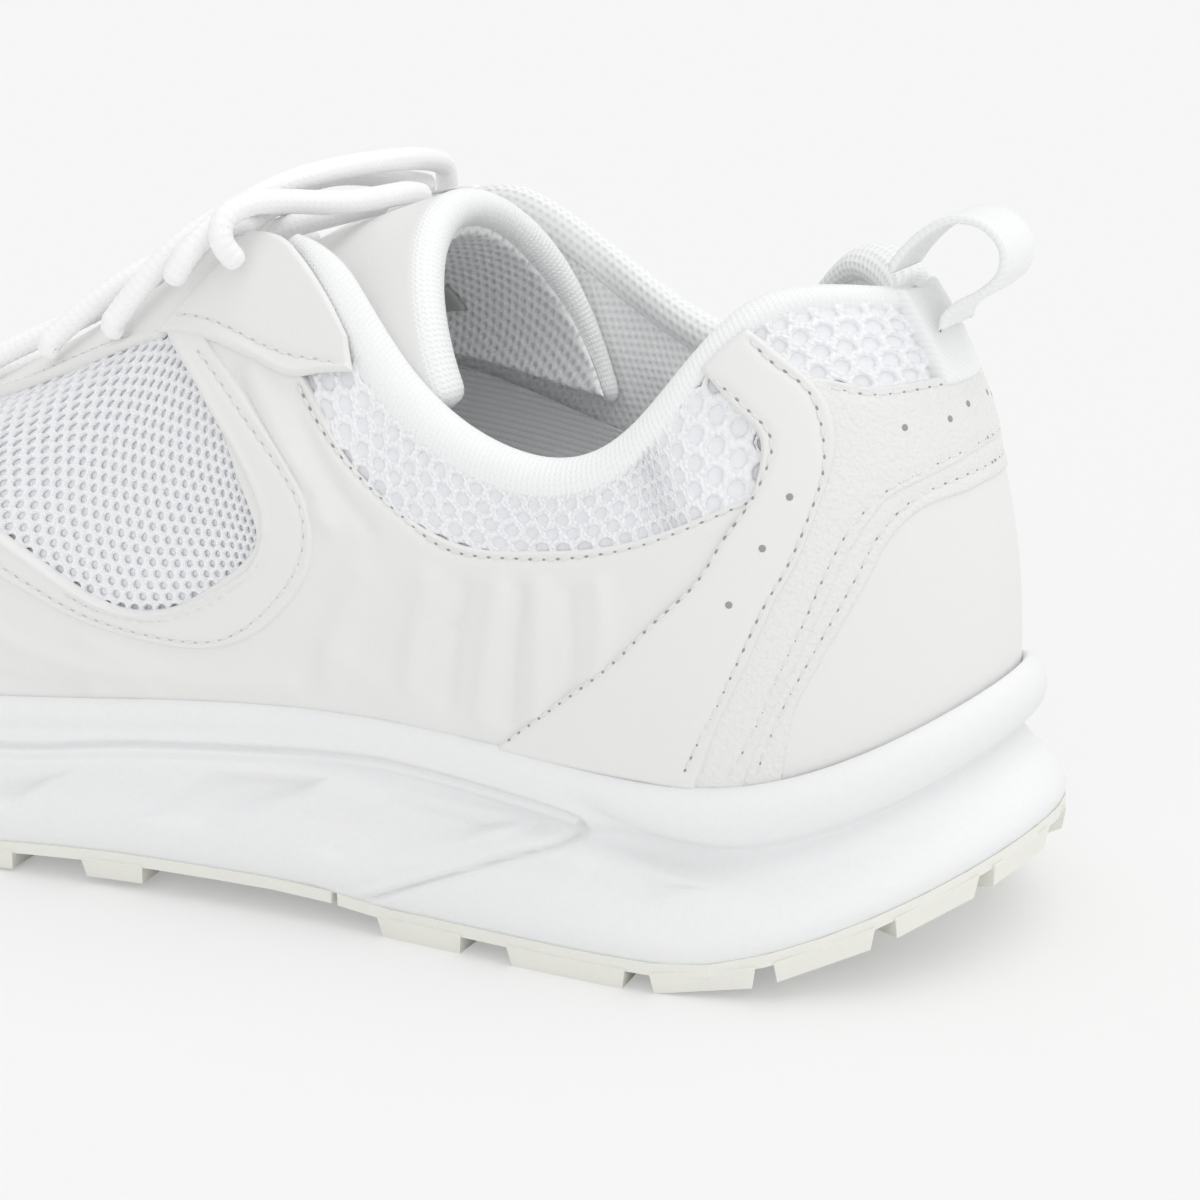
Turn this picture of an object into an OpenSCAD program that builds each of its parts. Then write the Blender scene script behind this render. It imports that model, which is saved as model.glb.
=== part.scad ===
// Low-top running shoe, left foot.
// +X points to the toe, +Y to the outer (lateral) side, +Z up; the ground is z = 0.

/* [Overall size] */
// Length of the sole from heel to toe
shoe_l = 296; // [240:1:340]
// Width of the sole across the ball of the foot
shoe_w = 102; // [85:1:120]
// Height of the heel collar above the ground
shoe_h = 104; // [85:1:120]

/* [Sole] */
// Thickness of the outsole rubber sheet
sheet_t = 2; // [1.5:0.1:3]
// Height of the outsole lugs
lug_h = 3; // [2:0.1:5]
// Height of the rounded rim above its groove
rim_h = 9; // [6:0.5:12]
// Depth of the groove under the rim at the heel
groove_d = 4; // [1:0.5:6]
// Thickness of the stitched board that closes the upper
board_t = 1.5; // [1:0.1:2.5]
// Thickness of the insole foam
insole_t = 4; // [2:0.5:6]
// Thickness of the insole cloth
cloth_t = 0.8; // [0.5:0.1:1.5]

/* [Upper] */
// Thickness of the inner lining
lining_t = 1.7; // [1.2:0.1:2.5]
// Thickness of the mesh layer
mesh_t = 0.8; // [0.6:0.1:1.5]
// Thickness of the leather overlays
leather_t = 0.8; // [0.6:0.1:1.5]
// Clearance between neighbouring layers
gap = 0.35; // [0.3:0.05:0.5]
// Thickness of the collar foam at its fullest
foam_t = 7; // [3:0.5:10]
// Diameter of the knit binding round the collar
binding_d = 6; // [4:0.2:8]

/* [Tongue] */
// Thickness of the tongue foam
tongue_t = 4; // [2:0.5:7]
// Thickness of the tongue's face and lining
tongue_skin = 0.9; // [0.6:0.1:1.5]
// Diameter of the binding along the tongue's top edge
tongue_bind_d = 5.6; // [4:0.2:7]

/* [Lace and pull loop] */
// Diameter of the lace
lace_d = 4; // [3:0.2:6]
// Length of the plastic lace tips
aglet_l = 22; // [15:1:28]
// Width of the pull loop's webbing
loop_w = 13; // [8:1:18]
// Thickness of the pull loop's webbing
loop_t = 1.4; // [1:0.1:2]

/* [Hidden] */

// Scale of the hand-set stations against the overall size
kx = shoe_l / 296;
ky = shoe_w / 102;
kz = shoe_h / 104;

// Colours
leather_c = [0.93, 0.93, 0.91];
mesh_c = [0.92, 0.92, 0.95];
knit_c = [0.94, 0.95, 0.95];
foam_c = [0.90, 0.91, 0.93];
rubber_c = [0.91, 0.91, 0.86];

// Stations round the shoe, from the toe over the lateral side, the heel and the medial side.
// plan x y | feather inset, z | lower handle inset, z | upper handle x y z | topline x y z |
// rim z | inset of the sole's lower edge
STATIONS = [
    [151, -13, 9.5, 24, 5.0, 56, 108, -4, 66, 64, -1, 61, 39, 2],
    [139, 16, 9.0, 23, 5.0, 55, 102, 20, 64, 58, 10, 65, 36, 1],
    [119, 34, 8.5, 21, 4.5, 52, 88, 32, 64, 42, 15, 74, 32, 0],
    [88, 48, 8.0, 19, 4.0, 50, 60, 38, 69, 20, 18, 87, 29, -1],
    [50, 52.5, 8.0, 18, 3.5, 50, 26, 38, 78, -3, 20, 100, 29, -1],
    [10, 47.5, 7.5, 20, 4.0, 52, -8, 35, 90, -28, 24, 117, 32, -1],
    [-30, 42.5, 7.5, 22, 4.0, 52, -38, 36, 74, -46, 29, 86, 36, -2],
    [-70, 42, 7.5, 23, 4.0, 48, -70, 37, 60, -71, 32, 74, 35, -3],
    [-108, 42.5, 8.0, 24, 5.0, 50, -98, 36.5, 66, -91, 29.5, 78, 29, -4],
    [-137, 26, 8.5, 25, 5.5, 52, -125, 25.5, 82, -105.5, 23.5, 110, 40, -2],
    [-149, -2, 9.0, 25, 4.5, 54, -142, -1, 84, -130.5, -1, 98, 47, -3],
    [-137, -30, 8.5, 25, 5.0, 52, -125, -26.5, 82, -105.5, -25.5, 111, 40, -1],
    [-108, -41.5, 8.0, 24, 5.0, 50, -98, -36.5, 68, -91, -31.5, 84, 29, -1],
    [-70, -38, 7.5, 24, 4.0, 48, -70, -38, 64, -71, -34, 86, 35, -1],
    [-30, -34, 7.5, 24, 3.0, 52, -38, -37, 80, -46, -32, 105, 38, -1],
    [10, -38, 7.5, 22, 3.5, 52, -8, -36, 90, -28, -29, 113, 36, -1],
    [50, -48, 8.0, 19, 3.5, 50, 26, -39, 78, -3, -22, 102, 31, -1],
    [88, -53, 8.0, 19, 4.0, 50, 60, -41, 69, 20, -20, 87, 29, -1],
    [120, -50, 8.5, 21, 4.5, 52, 88, -37, 64, 42, -18, 74, 32, 0],
    [140, -38, 9.0, 23, 5.0, 55, 102, -25, 64, 58, -12, 65, 36, 1]];
N = len(STATIONS);
SCALE = [kx, ky, 1, kz, 1, kz, kx, ky, kz, kx, ky, kz, kz, 1];
ST = [for (r = STATIONS) [for (i = [0:13]) r[i] * SCALE[i]]];

// ---- curves -------------------------------------------------------------------------------

function smooth(a, b, x) = let(t = max(0, min(1, (x - a) / (b - a)))) t * t * (3 - 2 * t);
function unit(v) = v / norm(v);
function mix(a, b, t) = a * (1 - t) + b * t;

// Closed uniform cubic B-spline through the stations: one row of values at u
function row(u) = let(i = floor(u), f = u - i, k = i + 4 * N)
    (pow(1 - f, 3) * ST[(k - 1) % N] + (3 * f * f * f - 6 * f * f + 4) * ST[k % N]
    + (-3 * f * f * f + 3 * f * f + 3 * f + 1) * ST[(k + 1) % N] + f * f * f * ST[(k + 2) % N]) / 6;

// Open Catmull-Rom curve through a list of rows, s from 0 to 1
function along(tab, s) = let(n = len(tab) - 1, x = min(s * n, n - 0.000001), i = floor(x),
    f = x - i, a = tab[max(i - 1, 0)], b = tab[i], c = tab[i + 1], d = tab[min(i + 2, n)])
    0.5 * (2 * b + (c - a) * f + (2 * a - 5 * b + 4 * c - d) * f * f
    + (3 * b - a - 3 * c + d) * f * f * f);

// Plan point of the outline and its outward direction
function plan(r) = [r[0], r[1]];
function out(u) = let(d = unit(plan(row(u + 0.01)) - plan(row(u - 0.01)))) [d.y, -d.x];
function ring(u, inset, z) = let(p = plan(row(u)) - out(u) * inset) [p.x, p.y, z];

// ---- upper surface ------------------------------------------------------------------------

// The four control points of the upper's section at u: feather line, two handles, topline
function section(u) = let(r = row(u)) [ring(u, r[2], r[3]), ring(u, r[4], r[5]),
    [r[6], r[7], r[8]], [r[9], r[10], r[11]]];
function bez(c, v) = let(w = 1 - v) w * w * w * c[0] + 3 * w * w * v * c[1]
    + 3 * w * v * v * c[2] + v * v * v * c[3];
function dbez(c, v) = let(w = 1 - v) 3 * (w * w * (c[1] - c[0]) + 2 * w * v * (c[2] - c[1])
    + v * v * (c[3] - c[2]));
// Point of the upper at (u, v), t outward from the surface
function skin(u, v, t = 0) = let(c = section(u),
    n = unit(cross(bez(section(u + 0.02) - section(u - 0.02), v), dbez(c, v)))) bez(c, v) + n * t;
// v at which the section at u reaches the height z
function v_at(u, z, a = 0, b = 0.5, n = 8) = let(m = (a + b) / 2) n == 0 ? m :
    bez(section(u), m).z < z ? v_at(u, z, m, b, n - 1) : v_at(u, z, a, m, n - 1);
function v_rim(u) = v_at(u, row(u)[12] - 1);

// Thickness of the collar foam at (u, v): none below the ankle, fullest behind it
function pad(u, v) = let(m = abs(((u % N) + N) % N - 10))
    foam_t * smooth(4.6, 2.2, m) * smooth(0.5, 0.72, v) * (1 - 0.55 * smooth(0.8, 1, v));

// Value of a thickness that may be a number or a function of (u, v)
function level(t, u, v) = is_num(t) ? t : t(u, v);

// Closed solid between two layers of a grid of [upper, lower] points, ns by nt cells
module slab(top, bottom, ns, nt) {
    m = nt + 1;
    k = (ns + 1) * m;
    polyhedron(points = concat(top, bottom), faces = concat(
        [for (i = [0:ns - 1], j = [0:nt - 1]) each let(a = i * m + j, b = a + m)
            [[a, b + 1, b], [a, a + 1, b + 1], [k + a, k + b, k + b + 1], [k + a, k + b + 1, k + a + 1]]],
        [for (i = [0:ns - 1]) each let(a = i * m, b = a + m, c = a + nt, d = b + nt)
            [[a, b, k + b], [a, k + b, k + a], [c, k + d, d], [c, k + c, k + d]]],
        [for (j = [0:nt - 1]) each let(a = j, b = a + 1, c = ns * m + j, d = c + 1)
            [[a, k + b, b], [a, k + a, k + b], [c, d, k + d], [c, k + d, k + c]]]));
}

// Panel of the upper between the levels t0 and t1. Each row of the region is a rib from the
// panel's lower edge to its upper edge, [u, v, u, v] or with a middle point [u, v, u, v, u, v].
module panel(region, t0, t1, ns, nt) {
    ribs = [for (r = region) len(r) == 6 ? r :
        [r[0], r[1], (r[0] + r[2]) / 2, (r[1] + r[3]) / 2, r[2], r[3]]];
    uv = [for (i = [0:ns], j = [0:nt]) let(r = along(ribs, i / ns), t = 2 * j / nt)
        t < 1 ? mix([r[0], r[1]], [r[2], r[3]], t) : mix([r[2], r[3]], [r[4], r[5]], t - 1)];
    slab([for (p = uv) skin(p[0], p[1], level(t1, p[0], p[1]))],
        [for (p = uv) skin(p[0], p[1], level(t0, p[0], p[1]))], ns, nt);
}
// The same region on the other side of the shoe
function other(region) = [for (i = [len(region) - 1:-1:0])
    [for (j = [0:len(region[i]) - 1]) j % 2 == 0 ? N - region[i][j] : region[i][j]]];
// Region between the heights v0 and v1 from u0 to u1
function belt(u0, u1, v0, v1) = [[u0, v0, u0, v1], [u1, v0, u1, v1]];
// Replace every v below the rim with the rim's edge, a little above it
function above_rim(region, lift = 0.012) = [for (r = region)
    [for (j = [0:len(r) - 1]) j == 1 ? max(r[1], v_rim(r[0]) + lift) : r[j]]];

// Levels of the layers, outward from the surface
mesh_0 = gap;
mesh_1 = mesh_0 + mesh_t;
leather_0 = mesh_1 + gap;
leather_1 = leather_0 + leather_t;
trim_0 = leather_1 + gap;
trim_1 = trim_0 + leather_t;
cup_0 = leather_1 + gap;
lining_0 = function (u, v) -pad(u, v) - 1.6 * gap - lining_t;
lining_1 = function (u, v) -pad(u, v) - 1.6 * gap;
foam_0 = function (u, v) -pad(u, v);

// ---- sole ---------------------------------------------------------------------------------

// Height of the underside of the rubber sheet above the ground: heel bevel, toe spring, waist
function sole_z(x) = let(s = x / kx) lug_h + 17 * pow(max(0, (-102 - s) / 46), 1.5)
    + 17 * pow(max(0, (s - 72) / 75), 2) + 1.5 * smooth(-50, -36, s) * (1 - smooth(0, 40, s));
// Ring of the sole at u: inset from the outline and height above the rubber sheet
function edge(u, inset, dz) = let(p = ring(u, inset, 0)) [p.x, p.y, sole_z(p.x) + dz];

// Closed loft through rings of equal length, with each end closed by strips across the sole.
// A ring runs from the toe over the lateral side and back over the medial side.
module loft(rings) {
    n = len(rings[0]);
    k = len(rings);
    function cap(o, s) = [for (i = [0:n / 2 - 1]) each let(a = o + i, b = o + i + 1,
        c = o + n - 1 - i, d = o + (n - i) % n) i == 0 ? [s ? [a, b, c] : [a, c, b]] :
        i == n / 2 - 1 ? [s ? [a, b, d] : [a, d, b]] :
        s ? [[a, b, c], [a, c, d]] : [[a, c, b], [a, d, c]]];
    polyhedron(points = [for (r = rings) each r], faces = concat(
        [for (j = [0:k - 2], i = [0:n - 1]) each let(a = j * n + i, b = j * n + (i + 1) % n)
            [[a, b + n, b], [a, a + n, b + n]]], cap(0, true), cap((k - 1) * n, false)));
}
sole_n = 60;
US = [for (i = [0:sole_n - 1]) i * N / sole_n];

// Ring of the midsole's side: dz above the rubber sheet, or the part f of the way from the
// underside to the groove where that is lower
function side(u, inset, dz, f) = let(r = row(u), p = ring(u, inset, 0), z = sole_z(p.x) + sheet_t)
    [p.x, p.y, min(z + dz, mix(z + gap, r[12] - rim_h, f))];
module midsole_body() {
    loft([
        [for (u = US) edge(u, row(u)[13] + 1.5, sheet_t + gap)],
        [for (u = US) side(u, row(u)[13], 3, 0.2)],
        [for (u = US) side(u, row(u)[13] * 0.5, 9, 0.4)],
        [for (u = US) side(u, 0.4, 99, 0.6)],
        [for (u = US) let(r = row(u), h = smooth(4.5, 2.2, abs(u - 10)))
            ring(u, mix(1.5, groove_d + 1, h), r[12] - rim_h)],
        [for (u = US) let(r = row(u)) ring(u, 1.8, r[12] - rim_h * 0.55)],
        [for (u = US) let(r = row(u)) ring(u, 2.0, r[12] - 2)],
        [for (u = US) mix(ring(u, 3, row(u)[12]), skin(u, v_rim(u), cup_0), 0.5) + [0, 0, 0.6]],
        [for (u = US) skin(u, v_rim(u), cup_0)],
        [for (u = US) skin(u, v_rim(u) / 2, cup_0)],
        [for (u = US) skin(u, 0, cup_0) - [0, 0, board_t + 2 * gap]]]);
}
// Side profile of the front block from its nose forward: x, underside, top
BLOCK = [[-84, 20, 23], [-82.5, 18.5, 24.5], [-77, 17, 25.8], [-68, 14, 26.8], [-57, 10.5, 27.3],
    [-48, 6.5, 27], [-42, 4, 26.7], [-41.8, -20, 26.7], [-18, -20, 25.5], [25, -20, 21.5],
    [70, -20, 21], [110, -20, 23], [160, -20, 31]];
module block_slice(b, d) {
    translate([b[0] * kx, -shoe_w, b[1] * kz - d])
        cube([0.01, 2 * shoe_w, (b[2] - b[1]) * kz + 2 * d]);
}
module block_space(d) {
    for (i = [0:len(BLOCK) - 2]) hull() {
        block_slice(BLOCK[i] - [i < 7 ? d : 0, 0, 0], d);
        block_slice(BLOCK[i + 1] - [i < 6 ? d : 0, 0, 0], d);
    }
}
module midsole_main() { color(foam_c) difference() { midsole_body(); block_space(gap / 2); } }
module midsole_front() { color(foam_c) intersection() { midsole_body(); block_space(-gap / 2); } }

// Rubber sheet between two stations, mirrored across the sole
module sheet(u0, u1, n) {
    us = [for (i = [0:n]) u0 + (u1 - u0) * i / n];
    m = [for (u = us) N - u];
    function line(u, w, d, h) = mix(edge(u, row(u)[13] + d, h), edge(N - u, row(N - u)[13] + d, h), w);
    top = [for (u = us, w = [0, 0.35, 0.65, 1]) line(u, w, 0, sheet_t)];
    low = [for (u = us, w = [0, 0.35, 0.65, 1]) line(u, w, 0, 0)];
    slab(top, low, n, 3);
}
// One lug: a tapered block whose corners follow the sheet's underside
module lug(p, taper = 0.8) {
    c = (p[0] + p[1] + p[2] + p[3]) / 4;
    hull() for (q = p, e = [[0.4, 0], [-lug_h, taper]])
        let(d = unit([c.x - q.x, c.y - q.y]), x = q.x + d.x * e[1], y = q.y + d.y * e[1])
            translate([x, y, sole_z(x) + e[0]]) cube([0.1, 0.1, 0.02], center = true);
}
// Lugs along the edge of the sole between the stations in each pair, w wide
module edge_lugs(pairs, w) {
    for (p = pairs, s = [0, 1]) let(a = s ? N - p[0] : p[0], b = s ? N - p[1] : p[1])
        lug([ring(a, row(a)[13] - 0.4, 0), ring(b, row(b)[13] - 0.4, 0),
            ring(b, row(b)[13] + w, 0), ring(a, row(a)[13] + w, 0)]);
}
// Lugs in the middle of the sole: a block on the centre line at each x, split by a groove
module centre_lugs(xs, half, l) {
    for (x = xs, s = [-1, 1]) let(y = s * (half / 2 + 1.5))
        lug([[x - l / 2, y - half / 2, 0], [x + l / 2, y - half / 2, 0],
            [x + l / 2 + 3, y + half / 2, 0], [x - l / 2 + 3, y + half / 2, 0]]);
}
heel_lugs = [[6.5, 6.9], [7.12, 7.66], [7.77, 8.22], [8.3, 8.75], [8.85, 9.3], [9.4, 9.85]];
front_lugs = [[0.25, 0.75], [0.85, 1.35], [1.45, 1.95], [2.05, 2.5], [2.6, 3.05], [3.15, 3.6],
    [3.7, 4.15], [4.25, 4.7], [5.05, 5.35]];

module outsole_heel() {
    color(rubber_c) union() {
        sheet(6.3, 9.98, 15);
        edge_lugs(heel_lugs, 13);
        centre_lugs([-118, -98, -78, -58] * kx, 13 * ky, 13);
    }
}
module outsole_front() {
    color(rubber_c) union() {
        sheet(0.02, 6.27, 22);
        edge_lugs(front_lugs, 13);
        centre_lugs([18, 38, 58, 78, 98, 118] * kx, 15 * ky, 12);
    }
}

// Board and insole: plates whose outline keeps a distance d inside the feather line
module plate(d, z0, z1) {
    loft([[for (u = US) let(r = row(u)) ring(u, r[2] + d, r[3] + z0)],
        [for (u = US) let(r = row(u)) ring(u, r[2] + d, r[3] + z1)]]);
}
board_z = -gap - board_t;
insole_z = 0;
insole_in = lining_t + 2.6 * gap;
module strobel_board() { color(knit_c) plate(0, board_z, board_z + board_t); }
module insole_foam() { color(foam_c) plate(insole_in, insole_z, insole_z + insole_t); }
module insole_cloth() {
    color(mesh_c) plate(insole_in + 0.3, insole_z + insole_t + 0.1, insole_z + insole_t + 0.1 + cloth_t);
}

// ---- upper panels -------------------------------------------------------------------------

edge_v = 0.925;  // upper edge of the layers, under the collar binding

module lining_toe() { color(knit_c) panel(belt(-2.9, 2.9, 0.03, 0.97), lining_0, lining_1, 22, 5); }
module lining_lateral() { color(knit_c) panel(belt(2.93, 7.2, 0.03, edge_v), lining_0, lining_1, 16, 7); }
module lining_medial() { color(knit_c) panel(belt(12.8, 17.07, 0.03, edge_v), lining_0, lining_1, 16, 7); }
module lining_heel() { color(knit_c) panel(belt(7.23, 12.77, 0.03, edge_v), lining_0, lining_1, 22, 8); }

module collar_foam() {
    color(foam_c) panel(belt(6, 14, 0.58, edge_v), foam_0, 0, 36, 4);
}
module heel_counter() {
    color(foam_c) panel([[8.2, 0.04, 8.2, 0.3], [9, 0.04, 9, 0.52], [10, 0.04, 10, 0.58],
        [11, 0.04, 11, 0.52], [11.8, 0.04, 11.8, 0.3]], mesh_0, mesh_1, 16, 4);
}
module toe_puff() { color(foam_c) panel(belt(-2.4, 2.4, 0.05, 0.3), mesh_0, mesh_1, 22, 3); }

// Mesh of the toe box and the side windows, one sheet from side to side
module vamp_mesh() {
    side = [[0, 0.32, 0, 0.985], [1.3, 0.32, 1.3, 0.975], [2.6, 0.32, 2.6, 0.93],
        [3.6, 0.31, 3.6, 0.88], [4.5, 0.27, 4.5, 0.86], [5.2, 0.24, 5.0, 0.84], [5.8, 0.36, 5.5, 0.74]];
    color(mesh_c) panel(concat([for (i = [len(side) - 1:-1:1]) [for (j = [0:3])
        j % 2 == 0 ? -side[i][j] : side[i][j]]], side), mesh_0, mesh_1, 38, 5);
}

collar_region = [[5.62, 0.82, 5.72, 0.925], [6.06, 0.73, 6.06, 0.925], [6.59, 0.69, 6.59, 0.925],
    [7.27, 0.73, 7.27, 0.925], [7.91, 0.73, 7.91, 0.925], [8.25, 0.70, 8.2, 0.925], [8.62, 0.69, 8.6, 0.925]];
module collar_mesh_lateral() { color(mesh_c) panel(collar_region, mesh_0, mesh_1, 20, 3); }
module collar_mesh_medial() { color(mesh_c) panel(other(collar_region), mesh_0, mesh_1, 20, 3); }
module heel_mesh() { color(mesh_c) panel(belt(8.8, 11.2, 0.77, edge_v), mesh_0, mesh_1, 16, 3); }

module toe_cap() {
    side = [[0, 0, 0, 0.40], [1, 0, 1, 0.38], [2, 0, 2, 0.33], [3, 0, 3, 0.27], [3.55, 0, 3.55, 0.25]];
    color(leather_c) panel(above_rim(concat([for (i = [4:-1:1])
        [for (j = [0:3]) j % 2 == 0 ? -side[i][j] : side[i][j]]], side), -0.03),
        leather_0, leather_1, 28, 4);
}
eyestay_region = [[0.5, 0.84, 0.5, 0.985], [1.4, 0.80, 1.4, 0.985], [2.4, 0.77, 2.4, 0.985],
    [3.5, 0.765, 3.5, 0.985], [4.3, 0.775, 4.4, 0.985], [4.66, 0.785, 4.84, 0.985]];
module eyestay_lateral() { color(leather_c) panel(eyestay_region, leather_0, leather_1, 20, 4); }
module eyestay_medial() { color(leather_c) panel(other(eyestay_region), leather_0, leather_1, 20, 4); }
eyestay_top_region = [[4.64, 0.79, 4.72, 0.985], [5.05, 0.785, 5.0, 0.99], [5.3, 0.79, 5.22, 0.975],
    [5.52, 0.82, 5.42, 0.955], [5.78, 0.90, 5.6, 0.945]];
module eyestay_top_lateral() { color(leather_c) panel(eyestay_top_region, trim_0, trim_1, 10, 4); }
module eyestay_top_medial() { color(leather_c) panel(other(eyestay_top_region), trim_0, trim_1, 10, 4); }

// Smooth quarter: below the window and up between the window and the collar mesh
quarter_region = [[3.62, 0.07, 3.62, 0.17, 3.62, 0.27], [4.4, 0.07, 4.45, 0.22, 4.5, 0.37],
    [5.1, 0.07, 5.05, 0.19, 5.0, 0.30], [5.6, 0.07, 5.55, 0.2, 5.4, 0.31],
    [6.0, 0.07, 5.95, 0.28, 5.74, 0.48], [6.3, 0.07, 6.15, 0.4, 5.5, 0.62],
    [6.6, 0.07, 6.35, 0.45, 5.1, 0.765], [6.9, 0.07, 6.65, 0.45, 5.6, 0.80],
    [7.1, 0.07, 6.95, 0.42, 6.15, 0.725], [7.2, 0.07, 7.15, 0.42, 6.7, 0.69],
    [7.3, 0.07, 7.4, 0.42, 7.3, 0.735], [7.4, 0.07, 7.65, 0.42, 7.9, 0.73],
    [7.5, 0.07, 7.95, 0.44, 8.62, 0.70]];
module quarter_lateral() { color(leather_c) panel(above_rim(quarter_region, -0.03), leather_0, leather_1, 28, 5); }
module quarter_medial() { color(leather_c) panel(above_rim(other(quarter_region), -0.03), leather_0, leather_1, 28, 5); }

// Crescent round the rear of the window, raised on the quarter
crescent_region = [[4.6, 0.33, 4.6, 0.385], [5.05, 0.255, 5.03, 0.305], [5.56, 0.24, 5.32, 0.3],
    [5.86, 0.3, 5.55, 0.35], [6.04, 0.44, 5.74, 0.43], [6.0, 0.57, 5.73, 0.53],
    [5.86, 0.66, 5.53, 0.61], [5.48, 0.71, 5.17, 0.69], [5.02, 0.755, 4.8, 0.765]];
module crescent_lateral() { color(leather_c) panel(crescent_region, trim_0, trim_1, 20, 2); }
module crescent_medial() { color(leather_c) panel(other(crescent_region), trim_0, trim_1, 20, 2); }

// Diagonal stripe from the waist up to the rear corner of the collar
stripe_region = [[6.98, 0.07, 7.92, 0.07], [7.26, 0.27, 8.07, 0.24], [7.53, 0.38, 8.28, 0.38],
    [7.8, 0.49, 8.46, 0.48], [8.08, 0.57, 8.64, 0.55], [8.28, 0.64, 8.8, 0.62],
    [8.51, 0.7, 9.01, 0.72], [8.67, 0.79, 9.05, 0.81], [8.61, 0.88, 8.94, 0.91], [8.56, 0.94, 8.87, 0.94]];
function rise(region, lift) = [for (i = [0:len(region) - 1]) let(r = region[i]) i > 0 ? r :
    [r[0], v_rim(r[0]) + lift, r[2], v_rim(r[2]) + lift]];
module heel_stripe_lateral() { color(leather_c) panel_across(rise(stripe_region, 0.02), 18, 3, false); }
module heel_stripe_medial() { color(leather_c) panel_across(rise(stripe_region, 0.02), 18, 3, true); }
// A panel whose rows run up the shoe instead of along it
module panel_across(region, ns, nt, flip) {
    uv = [for (j = [0:nt], i = [0:ns]) let(r = along(region, i / ns))
        mix([r[0], r[1]], [r[2], r[3]], j / nt)];
    o = flip ? [for (j = [nt:-1:0], i = [0:ns]) let(p = uv[j * (ns + 1) + i]) [N - p[0], p[1]]] : uv;
    slab([for (p = o) skin(p[0], p[1], trim_1)], [for (p = o) skin(p[0], p[1], trim_0)], nt, ns);
}

// Grained saddle round the heel under the heel mesh, and the band below it
saddle_half = [[8.13, 0.10, 7.95, 0.10], [8.28, 0.21, 8.1, 0.235], [8.47, 0.33, 8.31, 0.37],
    [8.67, 0.43, 8.49, 0.47], [8.82, 0.5, 8.67, 0.545], [8.97, 0.55, 8.83, 0.61],
    [9.2, 0.6, 9.06, 0.72], [9.5, 0.625, 9.3, 0.8], [9.8, 0.645, 9.7, 0.805], [10, 0.65, 10, 0.81]];
band_half = [[8.33, 0.10, 8.15, 0.09], [8.44, 0.24, 8.3, 0.205], [8.62, 0.34, 8.49, 0.32],
    [8.82, 0.42, 8.69, 0.42], [8.96, 0.47, 8.84, 0.49], [9.13, 0.53, 8.99, 0.54],
    [9.36, 0.57, 9.22, 0.59], [9.7, 0.58, 9.5, 0.615], [9.85, 0.585, 9.8, 0.635], [10, 0.585, 10, 0.64]];
function both(half) = concat(half, [for (i = [len(half) - 2:-1:0]) let(r = half[i])
    [N - r[0], r[1], N - r[2], r[3]]]);
function rim_ends(region) = [for (i = [0:len(region) - 1]) let(r = region[i])
    i > 0 && i < len(region) - 1 ? r : [r[0], v_rim(r[0]) - 0.02, r[2], v_rim(r[2]) - 0.02]];
module heel_saddle() { color(leather_c) panel(rim_ends(both(saddle_half)), leather_0, leather_1, 34, 3); }
module heel_band() { color(leather_c) panel(rim_ends(both(band_half)), leather_0, leather_1, 34, 2); }
module heel_panel() {
    half = [[8.38, 0.07, 8.36, 0.12], [8.5, 0.1, 8.46, 0.23], [8.7, 0.12, 8.64, 0.33],
        [8.9, 0.14, 8.84, 0.41], [9.1, 0.15, 8.98, 0.46], [9.3, 0.16, 9.15, 0.52],
        [9.55, 0.18, 9.38, 0.56], [9.8, 0.2, 9.72, 0.57], [10, 0.2, 10, 0.575]];
    color(leather_c) panel(above_rim(both(half), -0.03), leather_0, leather_1, 28, 4);
}

// ---- tubes --------------------------------------------------------------------------------

// Tube of diameter d and k sides along the points p, with flat ends
module tube(p, d, k = 8) {
    n = len(p);
    t = [for (i = [0:n - 1]) unit(p[min(i + 1, n - 1)] - p[max(i - 1, 0)])];
    // one normal carried along the route without twist
    s0 = unit(cross(t[0], abs(t[0].z) < 0.9 ? [0, 0, 1] : [0, 1, 0]));
    function carry(i, s) = i == n ? [] : let(a = unit(s - t[i] * (s * t[i]))) concat([a], carry(i + 1, a));
    s = carry(0, s0);
    pts = [for (i = [0:n - 1], j = [0:k - 1]) let(a = 360 * j / k)
        p[i] + (s[i] * cos(a) + cross(t[i], s[i]) * sin(a)) * d / 2];
    polyhedron(points = pts, faces = concat(
        [for (i = [0:n - 2], j = [0:k - 1]) each let(a = i * k + j, b = i * k + (j + 1) % k)
            [[a, a + k, b + k], [a, b + k, b]]],
        [[for (j = [0:k - 1]) j]], [[for (j = [k - 1:-1:0]) (n - 1) * k + j]]));
}
// Points at even steps of s on a Catmull-Rom curve
function route(p, n) = [for (i = [0:n]) along(p, i / n)];

module collar_binding() {
    color(knit_c) tube([for (i = [0:40]) let(u = 5.36 + (14.64 - 5.36) * i / 40) skin(u, 1, -0.3)],
        binding_d, 8);
}

// ---- tongue -------------------------------------------------------------------------------

// Sections from the stitched base to the free end:
// centre x, centre y, centre z, half width, drop at the side, lean of the side, reach in degrees
TONGUE = [
    [69, -1, 54.6, 19, 5, 2, 50],
    [52, -1, 63.2, 22, 8, 0, 62],
    [30, -1, 77, 24.5, 12, -2, 66],
    [6, -1, 90.6, 25.6, 16, -4, 70],
    [-18, -1.2, 102.5, 25.4, 22, -8, 78],
    [-42, -1.6, 111, 24.4, 28, -12, 88]];
TS = [for (r = TONGUE) [r[0] * kx, r[1] * ky, r[2] * kz, r[3] * ky, r[4] * kz, r[5] * kx, r[6]]];
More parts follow.
